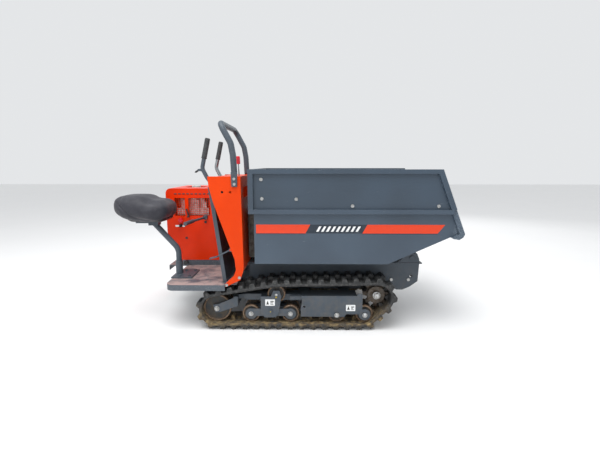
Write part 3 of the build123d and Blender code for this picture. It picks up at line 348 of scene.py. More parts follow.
def lay_copies(name, master, places, finish, size=1.0):
    """One plain mesh with a copy of master at each (position, euler angles)."""
    dots = bpy.data.meshes.new(f"{name}_points")
    dots.from_pydata([tuple(spot) for spot, _ in places], [], [])
    angles = dots.attributes.new("turn", "FLOAT_VECTOR", "POINT")
    for k, (_, turn) in enumerate(places):
        angles.data[k].vector = turn
    made = bpy.data.objects.new(name, dots)
    bpy.context.scene.collection.objects.link(made)
    modifier = made.modifiers.new("copies", "NODES")
    modifier.node_group = placing
    socket = {s.name: s.identifier for s in placing.interface.items_tree if s.in_out == "INPUT"}
    modifier[socket["Master piece"]] = master
    modifier[socket["Size"]] = size
    modifier[socket["Finish"]] = finish
    bpy.context.view_layer.update()
    ready = made.evaluated_get(bpy.context.evaluated_depsgraph_get())
    mesh = bpy.data.meshes.new_from_object(ready)
    made.modifiers.clear()
    made.data = mesh
    bpy.data.meshes.remove(dots)
    return made


def lug_shape(base, top, tall, wide, soft, foot=4 * MM):
    """Tapered block along -Z, with its foot sunk in the band and its outer edges rounded."""
    def fill(work):
        rings = [[work.verts.new((x * long / 2, y * across / 2, z))
                  for x, y in ((-1, -1), (1, -1), (1, 1), (-1, 1))]
                 for z, long, across in ((foot, base, wide), (0, base, wide), (-tall, top, wide - 8 * MM))]
        for one, two in zip(rings, rings[1:]):
            for k in range(4):
                work.faces.new((one[k], one[(k + 1) % 4], two[(k + 1) % 4], two[k]))
        work.faces.new(rings[0])
        work.faces.new(rings[-1])
        upper = [e for e in work.edges if min(v.co.z for v in e.verts) < -MM]
        bmesh.ops.bevel(work, geom=upper, offset=soft, segments=3, profile=0.6, affect="EDGES")
    return fill


def band_shape(side, low_y, high_y):
    """Closed band with rounded edges and a groove between its two rows of lugs."""
    def fill(work):
        soft, half, middle = 3 * MM, (high_y - low_y) / 2, (low_y + high_y) / 2
        section = [(-half, soft), (soft - half, 0.0), (half - soft, 0.0), (half, soft), (half, BAND - soft),
                   (half - soft, BAND), (soft, BAND), (0, BAND - soft), (-soft, BAND), (soft - half, BAND),
                   (-half, BAND - soft)]
        rings = []
        for x, z, heading in loop_stations(side, 0.3 * MM, LINKS * 6):
            out = Vector((math.sin(heading), 0, -math.cos(heading)))
            rings.append([work.verts.new(Vector((x, middle + y, z)) + out * t) for y, t in section])
        for one, two in zip(rings, rings[1:] + rings[:1]):
            for k in range(len(section)):
                n = (k + 1) % len(section)
                work.faces.new((one[k], one[n], two[n], two[k]))
    return fill


def lug_places(side, grow, shift, y, turned=0.0):
    return [((x, y, z), (0.0, turned - heading, 0.0))
            for x, z, heading in loop_stations(side, grow, LINKS, shift)]


tread_lug = new_piece("tread_lug", lug_shape(36 * MM, 22 * MM, 19.5 * MM, 84 * MM, 4 * MM))
guide_lug = new_piece("guide_lug", lug_shape(26 * MM, 13 * MM, 19.5 * MM, 12 * MM, 2.5 * MM))
for side in PAIR:
    belt = f"track_belt_{side}"
    low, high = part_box(belt)
    middle = (low.y + high.y) / 2
    row = math.copysign(46 * MM, middle)
    track = [
        new_piece(f"track_band_{side}", band_shape(side, low.y, high.y), track_rubber, smooth_under=50),
        lay_copies(f"tread_lugs_{side}", tread_lug,
                   lug_places(side, BAND, 0.0, middle - row) + lug_places(side, BAND, 0.5, middle + row),
                   track_rubber),
        lay_copies(f"guide_lugs_{side}", guide_lug,
                   lug_places(side, 0.0, 0.25, middle - 16 * MM, math.pi)
                   + lug_places(side, 0.0, 0.25, middle + 16 * MM, math.pi), track_rubber)]
    for made in track:
        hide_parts(belt)
        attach(made, "chassis")
for master in (tread_lug, guide_lug):
    bpy.data.objects.remove(master)


# --- Axle bolts -------------------------------------------------------------------------------
# Plated hexagon heads with a washer pull each axle against its arm or guard, with one large bolt on
# the sprocket's hub. Grit has dulled them.
def bolt_shape(work):
    for rows, sides in (([(0.5, 13, 0), (0, 13, 0), (-2, 13, 0), (-2.4, 12.4, 0)], 32),
                        ([(-2, 10.5, 0), (-7, 10.5, 0), (-8.6, 9.2, 0)], 6)):
        turn_body(work, Vector((0, 0, 0)), [(y * MM, r * MM, m) for y, r, m in rows], sides=sides)


axle_bolt = new_piece("axle_bolt", bolt_shape)
for side, out in SIDES:
    reach = {name: abs(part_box(f"{name}_{side}")[0 if out < 0 else 1].y)
             for name in ("bogie_arm", "tension_fork", "track_guard", "drive_sprocket")}
    spots = {"bogie": [("bogie_roller_rear", "bogie_arm"), ("bogie_roller_front", "bogie_arm")],
             "tension_fork": [("idler_wheel", "tension_fork")],
             "chassis": [("fixed_roller_rear", "track_guard"), ("fixed_roller_front", "track_guard")],
             "sprocket": [("drive_sprocket", "drive_sprocket")]}
    for body, pairs in spots.items():
        places = []
        for wheel_name, holder in pairs:
            low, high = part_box(f"{wheel_name}_{side}")
            places.append((((low.x + high.x) / 2, out * reach[holder], (low.z + high.z) / 2),
                           (0.0, 0.3, 0.0 if out < 0 else math.pi)))
        made = lay_copies(f"axle_bolts_{body}_{side}", axle_bolt, places, zinc,
                          size=1.6 if body == "sprocket" else 1.0)
        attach(made, f"{body}_{side}" if body != "chassis" else body)
bpy.data.objects.remove(axle_bolt)


# --- Grease nipples ---------------------------------------------------------------------------
# Small brass nipples feed the bogie's pivot and the top roller's axle. Each has a hexagon foot, a
# waist and a rounded tip, with old grease round it.
def nipple_shape(work):
    turn_body(work, Vector((0, 0, 0)), [(MM, 5 * MM, 0), (-2.5 * MM, 5 * MM, 0)], sides=6)
    turn_body(work, Vector((0, 0, 0)), [(-2 * MM, 3 * MM, 0), (-4.5 * MM, 2.2 * MM, 0), (-6 * MM, 3 * MM, 0),
                                        (-7.5 * MM, 1.5 * MM, 0)], sides=16)


brass = plated_steel("greasy_brass", "#c8b13c", "#8f8033", 0.35, 0.6, metal=0.8)
nipple = new_piece("nipple", nipple_shape)
FLANK = 358 * MM
for side, out in SIDES:
    level, turn = out * FLANK, (0.0, 0.0, 0.0 if out < 0 else math.pi)
    made = lay_copies(f"grease_nipples_{side}", nipple, [((x * MM, level, z * MM), turn)
                                                         for x, z in ((-65, 96.6), (-35, 175))], brass)
    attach(made, "chassis")
bpy.data.objects.remove(nipple)


# --- Warning plates ---------------------------------------------------------------------------
# Printed polyester labels on the arm bracket and the guard: white with a plain black figure, no
# wording. Their film is a third of a millimetre thick, a little dirty, and lies flat on the coat.
def printed_film(name, base, smudge, rough=0.35):
    """Printed film: even colour, faint smudges, smooth with slight ripples."""
    made, tree, place = start_finish(name)
    smear = put(tree, NOISE, {"Vector": place, "Scale": 60.0, "Detail": 7.0, "Roughness": 0.7})
    smear = put(tree, RANGE, {0: smear, 1: 0.5, 2: 0.75, 3: 0.0, 4: 0.45})
    ripple = put(tree, NOISE, {"Vector": place, "Scale": 90.0, "Detail": 2.0})
    return end_finish(made, tree, {
        "Base Color": put(tree, MIX, {0: smear, 6: base, 7: smudge}, 2, data_type="RGBA"),
        "Roughness": put(tree, RANGE, {0: smear, 3: rough, 4: rough + 0.3}), "IOR": 1.5,
        "Normal": put(tree, BUMP, {"Height": ripple, "Distance": 0.1 * MM, "Strength": 0.3})})


label_white = printed_film("white_polyester_film", "#e4e6e6", "#b7ad9b")
label_black = printed_film("black_printed_film", "#16181a", "#45423c")


def film_shape(outlines, y, reach):
    """Flat shapes given in millimetres (x, z), standing reach out from the face at y."""
    def fill(work):
        for outline in outlines:
            faces = [[work.verts.new((x * MM, level, z * MM)) for x, z in outline]
                     for level in (y, y + reach)]
            count = len(outline)
            work.faces.new(faces[0])
            work.faces.new(faces[1])
            for k in range(count):
                n = (k + 1) % count
                work.faces.new((faces[0][k], faces[0][n], faces[1][n], faces[1][k]))
    return fill


def rounded(x0, x1, z0, z1, radius, steps=4):
    """Rectangle with rounded corners, as points."""
    corners = ((x1 - radius, z1 - radius, 0), (x0 + radius, z1 - radius, 90),
               (x0 + radius, z0 + radius, 180), (x1 - radius, z0 + radius, 270))
    return [(x + radius * math.cos(math.radians(start + 90 * k / steps)),
             z + radius * math.sin(math.radians(start + 90 * k / steps)))
            for x, z, start in corners for k in range(steps + 1)]


FILM = 0.35 * MM
for side, out in SIDES:
    for where, (x0, x1, z0, z1) in (("bracket", (-93, -42, 128, 163)), ("guard", (331, 380, 101, 135))):
        face = out * FLANK
        sheet = new_piece(f"label_{where}_{side}", film_shape([rounded(x0, x1, z0, z1, 3)], face, out * FILM),
                          label_white)
        figure = [[(x0 + 6, z0 + 7), (x0 + 20, z0 + 7), (x0 + 13, z1 - 7)],
                  rounded(x0 + 27, x1 - 6, z1 - 14, z1 - 9, 1),
                  rounded(x0 + 27, x1 - 11, z0 + 14, z0 + 18, 1),
                  rounded(x0 + 27, x1 - 8, z0 + 7, z0 + 10, 1)]
        mark = new_piece(f"label_mark_{where}_{side}", film_shape(figure, face + out * FILM, out * 0.15 * MM),
                         label_black)
        for made in (sheet, mark):
            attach(made, "chassis")


# --- Chassis frame, deck and seat socket ------------------------------------------------------
# The frame is folded plate and box tube, powder coated as the arms are. The deck is gritted for the
# operator's boots: sharp grains under the paint, trodden to a dull reddish grey in the middle.
def gritted_deck(name):
    made, tree, place = start_finish(name)
    grain = put(tree, "ShaderNodeTexVoronoi", {"Vector": place, "Scale": 330.0})
    bright = put(tree, RANGE, {0: grain, 1: 0.12, 2: 0.3, 3: 1.0, 4: 0.0})
    pick = put(tree, NOISE, {"Vector": place, "Scale": 160.0, "Detail": 3.0})
    bright = put(tree, MATHS, {0: bright, 1: put(tree, RANGE, {0: pick, 1: 0.5, 2: 0.62})},
                 operation="MULTIPLY")
    cloud = put(tree, NOISE, {"Vector": place, "Scale": 12.0, "Detail": 6.0, "Roughness": 0.6})
    worn = put(tree, RANGE, {0: cloud, 1: 0.38, 2: 0.56})
    split = put(tree, "ShaderNodeNewGeometry", {}, "Normal")
    upward = put(tree, RANGE, {0: put(tree, SPLIT, {0: split}, 2), 1: 0.6, 2: 0.9})
    worn = put(tree, MATHS, {0: worn, 1: upward}, operation="MULTIPLY")
    colour = put(tree, MIX, {0: worn, 6: "#4e555d", 7: "#a18a86"}, 2, data_type="RGBA")
    colour = put(tree, MIX, {0: bright, 6: colour, 7: "#b9c0c6"}, 2, data_type="RGBA")
    return end_finish(made, tree, {
        "Base Color": colour, "Roughness": put(tree, RANGE, {0: worn, 3: 0.5, 4: 0.75}), "IOR": 1.5,
        "Normal": put(tree, BUMP, {"Height": grain, "Distance": 0.8 * MM, "Strength": 0.55})})


give(charcoal_coat, "chassis_frame", "seat_socket", "seat_post", "handlebar")
give(gritted_deck("gritted_deck_coat"), "platform")
give(zinc, "frame_bolts", "bucket_bolts")


# --- Bucket and its extension boards ----------------------------------------------------------
# Folded and welded 3 mm sheet under a satin blue-grey coat, scratched inside by stone. The boards are
# bolted on; their coat is the same, mixed a shade darker as painted shade over the upper boards.
def bucket_finish(name, base, shade):
    made, tree, place = start_finish(name)
    worn, soft = rubbed_edges(tree, 1.6)
    cloud = put(tree, NOISE, {"Vector": place, "Scale": 3.0, "Detail": 3.0})
    cloud = put(tree, RANGE, {0: cloud, 1: 0.35, 2: 0.65})
    colour = put(tree, MIX, {0: cloud, 6: base, 7: shade}, 2, data_type="RGBA")
    fleck = put(tree, NOISE, {"Vector": place, "Scale": 420.0, "Detail": 2.0})
    lip = put(tree, RANGE, {0: put(tree, SPLIT, {0: place}, 0), 1: 0.86, 2: 0.875})
    fleck = put(tree, MATHS, {0: put(tree, RANGE, {0: fleck, 1: 0.55, 2: 0.62, 3: 0.0, 4: 0.6}), 1: lip},
                operation="MULTIPLY")
    colour = put(tree, MIX, {0: fleck, 6: colour, 7: "#8d99a5"}, 2, data_type="RGBA")
    along = put(tree, SCALE, {"Vector": place, "Scale": (0.12, 1.0, 1.0)})
    scratch = put(tree, NOISE, {"Vector": along, "Scale": 170.0, "Detail": 4.0, "Roughness": 0.6})
    scratch = put(tree, RANGE, {0: scratch, 1: 0.68, 2: 0.75, 3: 0.0, 4: 0.3})
    patch = put(tree, NOISE, {"Vector": place, "Scale": 70.0, "Detail": 4.0})
    patch = put(tree, RANGE, {0: patch, 1: 0.42, 2: 0.6, 3: 0.05, 4: 0.5})
    worn = put(tree, MATHS, {0: put(tree, MATHS, {0: worn, 1: patch}, operation="MULTIPLY"), 1: scratch},
               operation="MAXIMUM")
    colour = put(tree, MIX, {0: worn, 6: colour, 7: "#8a9299"}, 2, data_type="RGBA")
    peel = put(tree, NOISE, {"Vector": place, "Scale": 380.0, "Detail": 2.0})
    return end_finish(made, tree, {
        "Base Color": colour, "Roughness": put(tree, RANGE, {0: cloud, 3: 0.36, 4: 0.46}), "IOR": 1.5,
        "Normal": put(tree, BUMP, {"Height": peel, "Distance": 0.1 * MM, "Strength": 0.35, "Normal": soft}),
        "Coat Weight": 0.15, "Coat Roughness": 0.2})


give(bucket_finish("powder_coated_bucket_blue_grey", "#3f4e5d", "#384553"), "bucket_tub")
# The boards' darker base colours are painted shade over the upper part of the bucket.
give(bucket_finish("powder_coated_board_blue_grey_painted_shade", "#394857", "#33404d"), "extension_boards")


# --- Stripe along the bucket ------------------------------------------------------------------
# Cut vinyl on both sides: an orange band in two lengths with slanted ends on a navy ground, and a
# row of plain slanted bars between them. Each film is a third of a millimetre proud of the coat.
stripe_navy = printed_film("navy_vinyl", "#1f2a36", "#3b444c")
stripe_orange = printed_film("orange_vinyl", "#dc3a0c", "#c83c12")
stripe_white = printed_film("white_vinyl", "#e9eaea", "#bfc0bd")
BAND_LOW, BAND_HIGH, SLANT = 515.0, 560.0, 24.5
BARS, BAR_START, BAR_STEP, BAR_WIDE = 9, 172.0, 25.0, 12.0


def slanted(low_start, low_end, z0, z1, lean_start, lean_end):
    return [(low_start, z0), (low_end, z0), (low_end + lean_end, z1), (low_start + lean_start, z1)]


for side, out in SIDES:
    face = out * FLANK
    ground = [slanted(117.5, 407, BAND_LOW, BAND_HIGH, SLANT, SLANT),
              slanted(-134, 117.5, BAND_LOW - 4, BAND_LOW, 0, 0),
              slanted(407, 788, BAND_LOW - 4, BAND_LOW, 0, 4)]
    bands = [slanted(-134, 117.5, BAND_LOW, BAND_HIGH, 0, SLANT),
             slanted(407, 788, BAND_LOW, BAND_HIGH, SLANT, 36)]
    low, high = BAND_LOW + 9, BAND_HIGH - 9
    lean = SLANT * (high - low) / (BAND_HIGH - BAND_LOW)
    bars = [slanted(BAR_START + k * BAR_STEP, BAR_START + k * BAR_STEP + BAR_WIDE, low, high, lean, lean)
            for k in range(BARS)]
    for name, shapes, at, finish in (("ground", ground, 0.0, stripe_navy),
                                     ("bands", bands, 0.0, stripe_orange),
                                     ("bars", bars, FILM, stripe_white)):
        made = new_piece(f"stripe_{name}_{side}", film_shape(shapes, face + out * at, out * FILM), finish)
        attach(made, "bucket")


# --- Console, rear cover and engine hood ------------------------------------------------------
# Laser-cut and bent sheet, powder coated orange; the hood is a redder, glossier batch. The console's
# bolts are plated, and two black plastic plugs close unused holes in the hood.
orange_coat = powder_coat("powder_coated_orange", "#de4002", "#d63b00", "#ea7f58", "#964020",
                          rough=0.34, dust_top=0.5, most=0.25, rub=0.35, gloss=0.15)
hood_coat = powder_coat("powder_coated_red_orange", "#e63200", "#da2d00", "#ea7a5a", "#923c22",
                        rough=0.3, dust_top=0.5, most=0.22, rub=0.3, gloss=0.15)
give(orange_coat, "console_side_right", "console_side_left", "console_front_panel")
give(charcoal_coat, "console_rear_cover")
give(hood_coat, "engine_hood")


def moulded(name, base, shade, rough, grain, depth, metal=0.0, top=0.0):
    """Moulded or cast surface: cloudy colour over a fine grain of that size and depth in mm."""
    made, tree, place = start_finish(name)
    cloud = put(tree, NOISE, {"Vector": place, "Scale": 55.0, "Detail": 5.0, "Roughness": 0.6})
    cloud = put(tree, RANGE, {0: cloud, 1: 0.4, 2: 0.68})
    skin = put(tree, NOISE, {"Vector": place, "Scale": 1 / (grain * MM), "Detail": 3.0})
    return end_finish(made, tree, {
        "Base Color": put(tree, MIX, {0: cloud, 6: base, 7: shade}, 2, data_type="RGBA"), "Metallic": metal,
        "Roughness": put(tree, RANGE, {0: cloud, 3: rough, 4: min(rough + 0.15, 1.0)}), "Coat Weight": top,
        "Normal": put(tree, BUMP, {"Height": skin, "Distance": depth * MM, "Strength": 0.5})})


black_plastic = moulded("moulded_black_nylon", "#1b1c1e", "#2b2c2e", 0.45, 1.5, 0.15)
red_plastic = moulded("moulded_red_plastic", "#d8102a", "#bd0c22", 0.25, 3.0, 0.05, top=0.3)
HOOD_FACE = 22 * MM
plugs = ((-491, 516, 8.0), (-611, 417, 7.5))


def plug_shapes(work):
    for x, z, radius in plugs:
        spot = Vector((x * MM, HOOD_FACE, z * MM))
        turn_body(work, spot, [(1 * MM, radius * MM, 0), (-0.8 * MM, radius * MM, 0),
                               (-1.6 * MM, (radius - 1) * MM, 0), (-1.8 * MM, 2 * MM, 0)], sides=24)


made = new_piece("hood_plugs", plug_shapes, black_plastic)
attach(made, "chassis")


# --- Hood grille and louvres ------------------------------------------------------------------
# Woven wire is welded behind the hood's opening and coated with it. Over it, a row of short pressed
# louvres lets heat out; each is a shallow rounded blister, coloured black all over as painted shade for its
# dark slot.
MESH_X, MESH_Z, MESH_STEP, WIRE = (-677, -461), (550, 663), 12.0, 1.3
mesh_y = HOOD_FACE + 3.4 * MM


def wire_shape(length, along):
    def fill(work):
        way = Vector((1, 0, 0)) if along == "x" else Vector((0, 0, 1))
        half = length / 2 * MM
        turn_body(work, Vector((0, 0, 0)), [(-half, WIRE * MM, 0), (half, WIRE * MM, 0)], sides=6, axis=way)
    return fill


level_wire = new_piece("level_wire", wire_shape(MESH_X[1] - MESH_X[0], "x"))
upright_wire = new_piece("upright_wire", wire_shape(MESH_Z[1] - MESH_Z[0], "z"))
mid_x, mid_z = sum(MESH_X) / 2 * MM, sum(MESH_Z) / 2 * MM
rows = int((MESH_Z[1] - MESH_Z[0]) / MESH_STEP)
columns = int((MESH_X[1] - MESH_X[0]) / MESH_STEP)
level_places = [((mid_x, mesh_y + 2 * WIRE * MM, (MESH_Z[0] + 4 + k * MESH_STEP) * MM), (0, 0, 0))
                for k in range(rows)]
upright_places = [(((MESH_X[0] + 4 + k * MESH_STEP) * MM, mesh_y, mid_z), (0, 0, 0))
                  for k in range(columns + 1)]
for name, master, places in (("grille_level_wires", level_wire, level_places),
                             ("grille_upright_wires", upright_wire, upright_places)):
    made = lay_copies(name, master, places, hood_coat)
    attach(made, "chassis")
LOUVRES, LOUVRE_STEP, LOUVRE_LONG, LOUVRE_TALL = 9, 25.0, 17.0, 7.0


def louvre_shape(work):
    rows = [(0.5, 0, 0), (-0.2, 0, 0), (-1.6, -1, 1.2), (-2.0, -2.6, 2.2)]
    rings = []
    for out, shrink_x, shrink_z in rows:
        half_x, half_z = LOUVRE_LONG / 2 + shrink_x, LOUVRE_TALL / 2 - shrink_z
        rings.append([work.verts.new((x * MM, out * MM, z * MM))
                      for x, z in rounded(-half_x, half_x, -half_z, half_z, min(3, half_z * 0.8))])
    for one, two in zip(rings, rings[1:]):
        for k in range(len(one)):
            n = (k + 1) % len(one)
            work.faces.new((one[k], one[n], two[n], two[k]))
    work.faces.new(rings[0])
    work.faces.new(rings[-1])


louvre = new_piece("louvre", louvre_shape)
# The louvres take the black plastic finish all over: painted shade standing in for the dark open slots.
made = lay_copies("hood_louvres", louvre,
                  [(((-668 + k * LOUVRE_STEP) * MM, HOOD_FACE, 687 * MM), (0, 0, 0)) for k in range(LOUVRES)],
                  black_plastic)
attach(made, "chassis")
for master in (level_wire, upright_wire, louvre):
    bpy.data.objects.remove(master)


# --- Engine, tanks and cooler -----------------------------------------------------------------
# Die-cast and blasted aluminium for the engine, blow-moulded or pressed steel tanks, and a brazed
# aluminium cooler with pale oxidised fins. All of it lies behind the hood and the console.
alloy = moulded("die_cast_aluminium", "#d2d3d1", "#9c9a94", 0.45, 2.0, 0.4, metal=0.75)
give(alloy, "engine")
give(moulded("pressed_tank_enamel", "#cfd0cd", "#a9a9a4", 0.35, 4.0, 0.1), "fuel_tank")
give(moulded("painted_oil_tank", "#26292c", "#1d1f21", 0.4, 4.0, 0.1), "oil_tank")
give(moulded("brazed_cooler_aluminium", "#6c6a66", "#4f4b45", 0.5, 1.2, 0.3, metal=0.8), "oil_cooler")
give(moulded("hard_chrome", "#d9dbdd", "#c5c8ca", 0.08, 8.0, 0.01, metal=1.0), "cylinder_rod")
give(motor_coat, "cylinder_barrel")


def shroud_shape(work):
    """Stepped cowling of the engine's fan, as a rounded box with raised ribs."""
    for x0, x1, z0, z1, y0, y1 in ((-668, -474, 556, 600, 46, 86), (-650, -500, 600, 660, 60, 100),
                                   (-630, -600, 560, 650, 38, 62), (-560, -530, 560, 650, 38, 62),
                                   (-510, -486, 560, 640, 38, 62)):
        outline = rounded(x0, x1, z0, z1, 6)
        ends = [[work.verts.new((x * MM, y * MM, z * MM)) for x, z in outline] for y in (y0, y1)]
        for k in range(len(outline)):
            n = (k + 1) % len(outline)
            work.faces.new((ends[0][k], ends[0][n], ends[1][n], ends[1][k]))
        for end in ends:
            work.faces.new(end)


made = new_piece("engine_cowling", shroud_shape, alloy)
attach(made, "chassis")


# --- Levers, grips and controls ---------------------------------------------------------------
# Bent round bar, powder coated on the near side and bright on the far one, with ribbed rubber grips
# pushed on. Knobs, key, button and throttle lever are moulded plastic; brake and pedal are steel.
give(charcoal_coat, "steering_lever_right")
give(plated_steel("bare_bright_bar", "#aeb2b5", "#85878a", 0.3, 0.42), "steering_lever_left", "tip_lever")
give(black_plastic, "lever_trigger", "throttle_lever", "ignition_key", "hood_latch_knob")
give(charcoal_coat, "parking_brake_lever", "foot_pedal")
give(red_plastic, "tip_lever_knob", "stop_button")
grip_rubber = moulded("moulded_grip_rubber", "#3b3d3f", "#2e3032", 0.6, 1.0, 0.25)
GRIP_FOOT, GRIP_TOP, RIBS = (-398.0, 891.0), (-375.1, 993.0), 14
for side in PAIR:
    node = f"lever_grip_{side}"
    low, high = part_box(node)
    y = (low.y + high.y) / 2
    radius = (high.y - low.y) / 2
    foot = Vector((GRIP_FOOT[0] * MM, y, GRIP_FOOT[1] * MM))
    top = Vector((GRIP_TOP[0] * MM, y, GRIP_TOP[1] * MM))
    length = (top - foot).length

    def grip_shape(work):
        flange, cap = 5 * MM, 6 * MM
        rows = [(0, radius * 0.8, 0), (0.6 * MM, radius, 0), (flange, radius, 0),
                (flange + MM, radius * 0.9, 0)]
        for k in range(RIBS):
            at = flange + 2 * MM + (length - flange - cap - 4 * MM) * k / RIBS
            step = (length - flange - cap - 4 * MM) / RIBS
            rows += [(at + step * 0.1, radius * 0.9, 0), (at + step * 0.3, radius * 0.96, 0),
                     (at + step * 0.7, radius * 0.96, 0), (at + step * 0.9, radius * 0.9, 0)]
        rows += [(length - cap, radius * 0.92, 0), (length - cap * 0.5, radius * 0.9, 0),
                 (length - cap * 0.15, radius * 0.72, 0), (length, radius * 0.4, 0)]
        turn_body(work, foot, rows, sides=28, axis=top - foot)

    made = new_piece(f"grip_{side}", grip_shape, grip_rubber)
    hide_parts(node)
    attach(made, f"steering_lever_{side}")
made = new_piece("key_plate", film_shape([rounded(-676, -618, 486, 497, 2)], HOOD_FACE, -0.8 * MM),
                 label_white)
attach(made, "chassis")


# --- Seat -------------------------------------------------------------------------------------
# A moulded foam saddle under a charcoal vinyl cover, drawn over a black plastic pan. Sewn panels meet
# in a crease that runs down each flank; the cover is tight, a little crowned, with a soft grain.
def vinyl(name):
    made, tree, place = start_finish(name)
    cloud = put(tree, NOISE, {"Vector": place, "Scale": 14.0, "Detail": 4.0})
    cloud = put(tree, RANGE, {0: cloud, 1: 0.35, 2: 0.65})
    pebble = put(tree, "ShaderNodeTexVoronoi", {"Vector": place, "Scale": 420.0, "Randomness": 0.9})
    dust = put(tree, NOISE, {"Vector": place, "Scale": 60.0, "Detail": 7.0, "Roughness": 0.7})
    dust = put(tree, RANGE, {0: dust, 1: 0.5, 2: 0.7, 3: 0.0, 4: 0.25})
    colour = put(tree, MIX, {0: cloud, 6: "#35353c", 7: "#2d2d34"}, 2, data_type="RGBA")
    colour = put(tree, MIX, {0: dust, 6: colour, 7: "#505055"}, 2, data_type="RGBA")
    return end_finish(made, tree, {
        "Base Color": colour, "Roughness": put(tree, RANGE, {0: cloud, 3: 0.48, 4: 0.6}), "IOR": 1.5,
        "Specular IOR Level": 0.35, "Sheen Weight": 0.04, "Sheen Roughness": 0.4,
        "Normal": put(tree, BUMP, {"Height": pebble, "Distance": 0.35 * MM, "Strength": 0.5})})


SEAT_Y, VOXEL, SWELL, SETTLED = -185.0, 5.0, 3.5, 20
CREASE_DEEP, CREASE_WIDE = 6.0, 6.5
seat_stations = ((-914, 632, 664, 44), (-909, 610, 677, 68), (-896, 595, 687, 92), (-878, 585, 691, 108),
                 (-862, 578, 691, 118), (-850, 573, 696, 126), (-810, 564, 697, 137), (-760, 559, 696, 141),
                 (-735, 558, 689, 141), (-705, 558, 676, 139), (-676, 560, 672, 132), (-652, 565, 670, 122),
                 (-634, 573, 664, 110), (-622, 585, 654, 94), (-615, 602, 642, 72))
creases = (((-906, 664), (-876, 662), (-850, 646), (-822, 618), (-790, 594), (-750, 578), (-700, 570)),
           ((-862, 690), (-852, 668), (-846, 652)))


def eased(rows, at):
    """Row at a fractional place between given rows, on a Catmull-Rom curve."""
    k = min(int(at), len(rows) - 2)
    near = [rows[min(max(k + step, 0), len(rows) - 1)] for step in (-1, 0, 1, 2)]
    t = at - k
    return [0.5 * (2 * b + (c - a) * t + (2 * a - 5 * b + 4 * c - d) * t * t
                   + (3 * b - a - 3 * c + d) * t ** 3)
            for a, b, c, d in zip(*near)]


AROUND, BETWEEN = 64, 5


def saddle_shape(work):
    rings = []
    for step in range((len(seat_stations) - 1) * BETWEEN + 1):
        x, low, high, half = eased(seat_stations, step / BETWEEN)
        middle, tall, ring = (low + high) / 2, (high - low) / 2, []
        for k in range(AROUND):
            across, up = math.cos(math.tau * k / AROUND), math.sin(math.tau * k / AROUND)
            ring.append(work.verts.new((
                x * MM, (SEAT_Y + half * math.copysign(abs(across) ** 0.62, across)) * MM,
                (middle + tall * math.copysign(abs(up) ** 0.62, up)) * MM)))
        rings.append(ring)
    for one, two in zip(rings, rings[1:]):
        for k in range(AROUND):
            n = (k + 1) % AROUND
            work.faces.new((one[k], one[n], two[n], two[k]))
    work.faces.new(rings[0])
    work.faces.new(rings[-1])


def finished(piece):
    """Turns a piece's modifiers into its mesh."""
    bpy.context.view_layer.update()
    mesh = bpy.data.meshes.new_from_object(piece.evaluated_get(bpy.context.evaluated_depsgraph_get()))
    piece.modifiers.clear()
    piece.data = mesh


saddle = new_piece("saddle_cover", saddle_shape, vinyl("grained_vinyl_cover"))
saddle.data.shade_smooth()
remesh = saddle.modifiers.new("even", "REMESH")
remesh.mode, remesh.voxel_size, remesh.use_smooth_shade = "VOXEL", VOXEL * MM, True
finished(saddle)
before = [v.co.copy() for v in saddle.data.vertices]
cloth = saddle.modifiers.new("cloth", "CLOTH")
cloth.settings.use_pressure = True
cloth.settings.uniform_pressure_force = 4.0
cloth.settings.effector_weights.gravity = 0.0
cloth.settings.quality = 5
cloth.point_cache.frame_start, cloth.point_cache.frame_end = 1, SETTLED
for step in range(1, SETTLED + 1):
    bpy.context.scene.frame_set(step)
finished(saddle)
for vertex, start in zip(saddle.data.vertices, before):
    moved = vertex.co - start
    if moved.length > SWELL * MM:
        vertex.co = start + moved.normalized() * SWELL * MM
bpy.context.scene.frame_set(1)
taut = saddle.modifiers.new("taut", "SMOOTH")
taut.factor, taut.iterations = 0.5, 14
soften = saddle.modifiers.new("soften", "SUBSURF")
soften.levels = soften.render_levels = 1
finished(saddle)
lines = [[Vector((x * MM, z * MM)) for x, z in crease] for crease in creases]
for vertex in saddle.data.vertices:
    off = vertex.co.y - SEAT_Y * MM
    flat = Vector((vertex.co.x, vertex.co.z))
    nearest = CREASE_WIDE * MM * 4
    for line in lines:
        for start, end in zip(line, line[1:]):
            run = end - start
            share = min(max((flat - start).dot(run) / run.length_squared, 0.0), 1.0)
            nearest = min(nearest, (flat - start - run * share).length)
    flank = min(max((abs(off) - 60 * MM) / (30 * MM), 0.0), 1.0)
    deep = CREASE_DEEP * MM * math.exp(-(nearest / (CREASE_WIDE * MM)) ** 2) * flank
    vertex.co.y -= math.copysign(deep, off)
saddle.data.materials.clear()
saddle.data.materials.append(bpy.data.materials["grained_vinyl_cover"])
saddle.data.shade_smooth()
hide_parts("seat_cushion")
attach(saddle, "seat")


PAN_X = -738


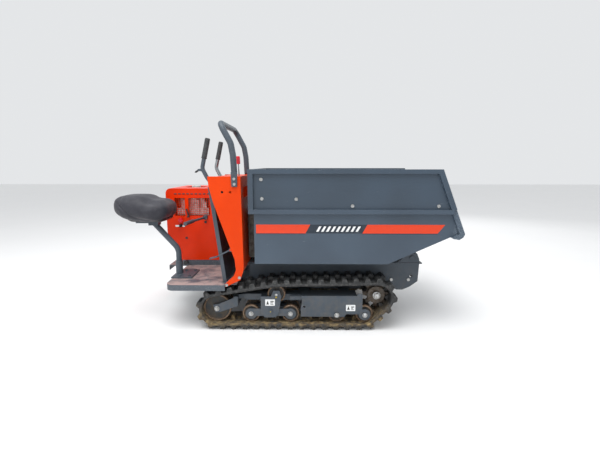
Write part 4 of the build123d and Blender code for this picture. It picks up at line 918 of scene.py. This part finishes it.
def pan_shape(work):
    """Shallow plastic tray under the foam, open nowhere, with a rolled edge."""
    rows = ((557, 78, 70), (559, 92, 84), (566, 100, 92), (572, 103, 95), (574, 100, 92))
    rings = []
    for z, half_x, half_y in rows:
        rings.append([work.verts.new((x * MM, y * MM, z * MM)) for x, y in
                      rounded(PAN_X - half_x, PAN_X + half_x, SEAT_Y - half_y, SEAT_Y + half_y, 40, 8)])
    for one, two in zip(rings, rings[1:]):
        for k in range(len(one)):
            n = (k + 1) % len(one)
            work.faces.new((one[k], one[n], two[n], two[k]))
    work.faces.new(rings[0])
    work.faces.new(rings[-1])


made = new_piece("saddle_pan", pan_shape, black_plastic)
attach(made, "seat")


# --- Studio -----------------------------------------------------------------------------------
# Pale matt floor, a broad soft light overhead with weaker ones in front and behind, and a camera a
# little above the top of the bucket.
def floor_finish():
    made, tree, place = start_finish("matt_studio_floor")
    cloud = put(tree, NOISE, {"Vector": place, "Scale": 2.0, "Detail": 3.0})
    colour = put(tree, MIX, {0: cloud, 6: "#efefef", 7: "#ebebeb"}, 2, data_type="RGBA")
    return end_finish(made, tree, {"Base Color": colour, "Roughness": 0.9})


FLOOR, LAMP_SIZE, LIT = 30.0, 3.0, Vector((0, 0, 0.5))
bpy.ops.mesh.primitive_plane_add(size=FLOOR, location=(0, 0, 0))
floor = bpy.context.object
floor.name = "studio_floor"
floor.data.materials.append(floor_finish())
world = bpy.data.worlds.new("studio")
world.use_nodes = True
world.node_tree.nodes["Background"].inputs["Color"].default_value = colour_of("#f4f6f8")
world.node_tree.nodes["Background"].inputs["Strength"].default_value = 0.86
bpy.context.scene.world = world
for name, place, power in (("overhead", (-0.6, -1.2, 3.6), 132.0), ("front", (-1.6, -4.4, 2.2), 16.0),
                           ("back", (2.0, 3.6, 2.6), 30.0)):
    lamp = bpy.data.lights.new(name, "AREA")
    lamp.size, lamp.energy = LAMP_SIZE, power
    holder = bpy.data.objects.new(name, lamp)
    holder.location = place
    holder.rotation_euler = (LIT - Vector(place)).to_track_quat("-Z", "Y").to_euler()
    bpy.context.scene.collection.objects.link(holder)
EYE, TILT, TURN, LENS = (0.115, -2.274, 0.859), 8.85, 0.75, 22.92
lens = bpy.data.cameras.new("camera")
lens.lens, lens.sensor_width = LENS, 36.0
camera = bpy.data.objects.new("camera", lens)
camera.location = EYE
camera.rotation_euler = (math.radians(90 - TILT), 0, math.radians(TURN))
bpy.context.scene.collection.objects.link(camera)
bpy.context.scene.camera = camera
bpy.context.scene.view_settings.view_transform = "Standard"

bpy.context.view_layer.update()
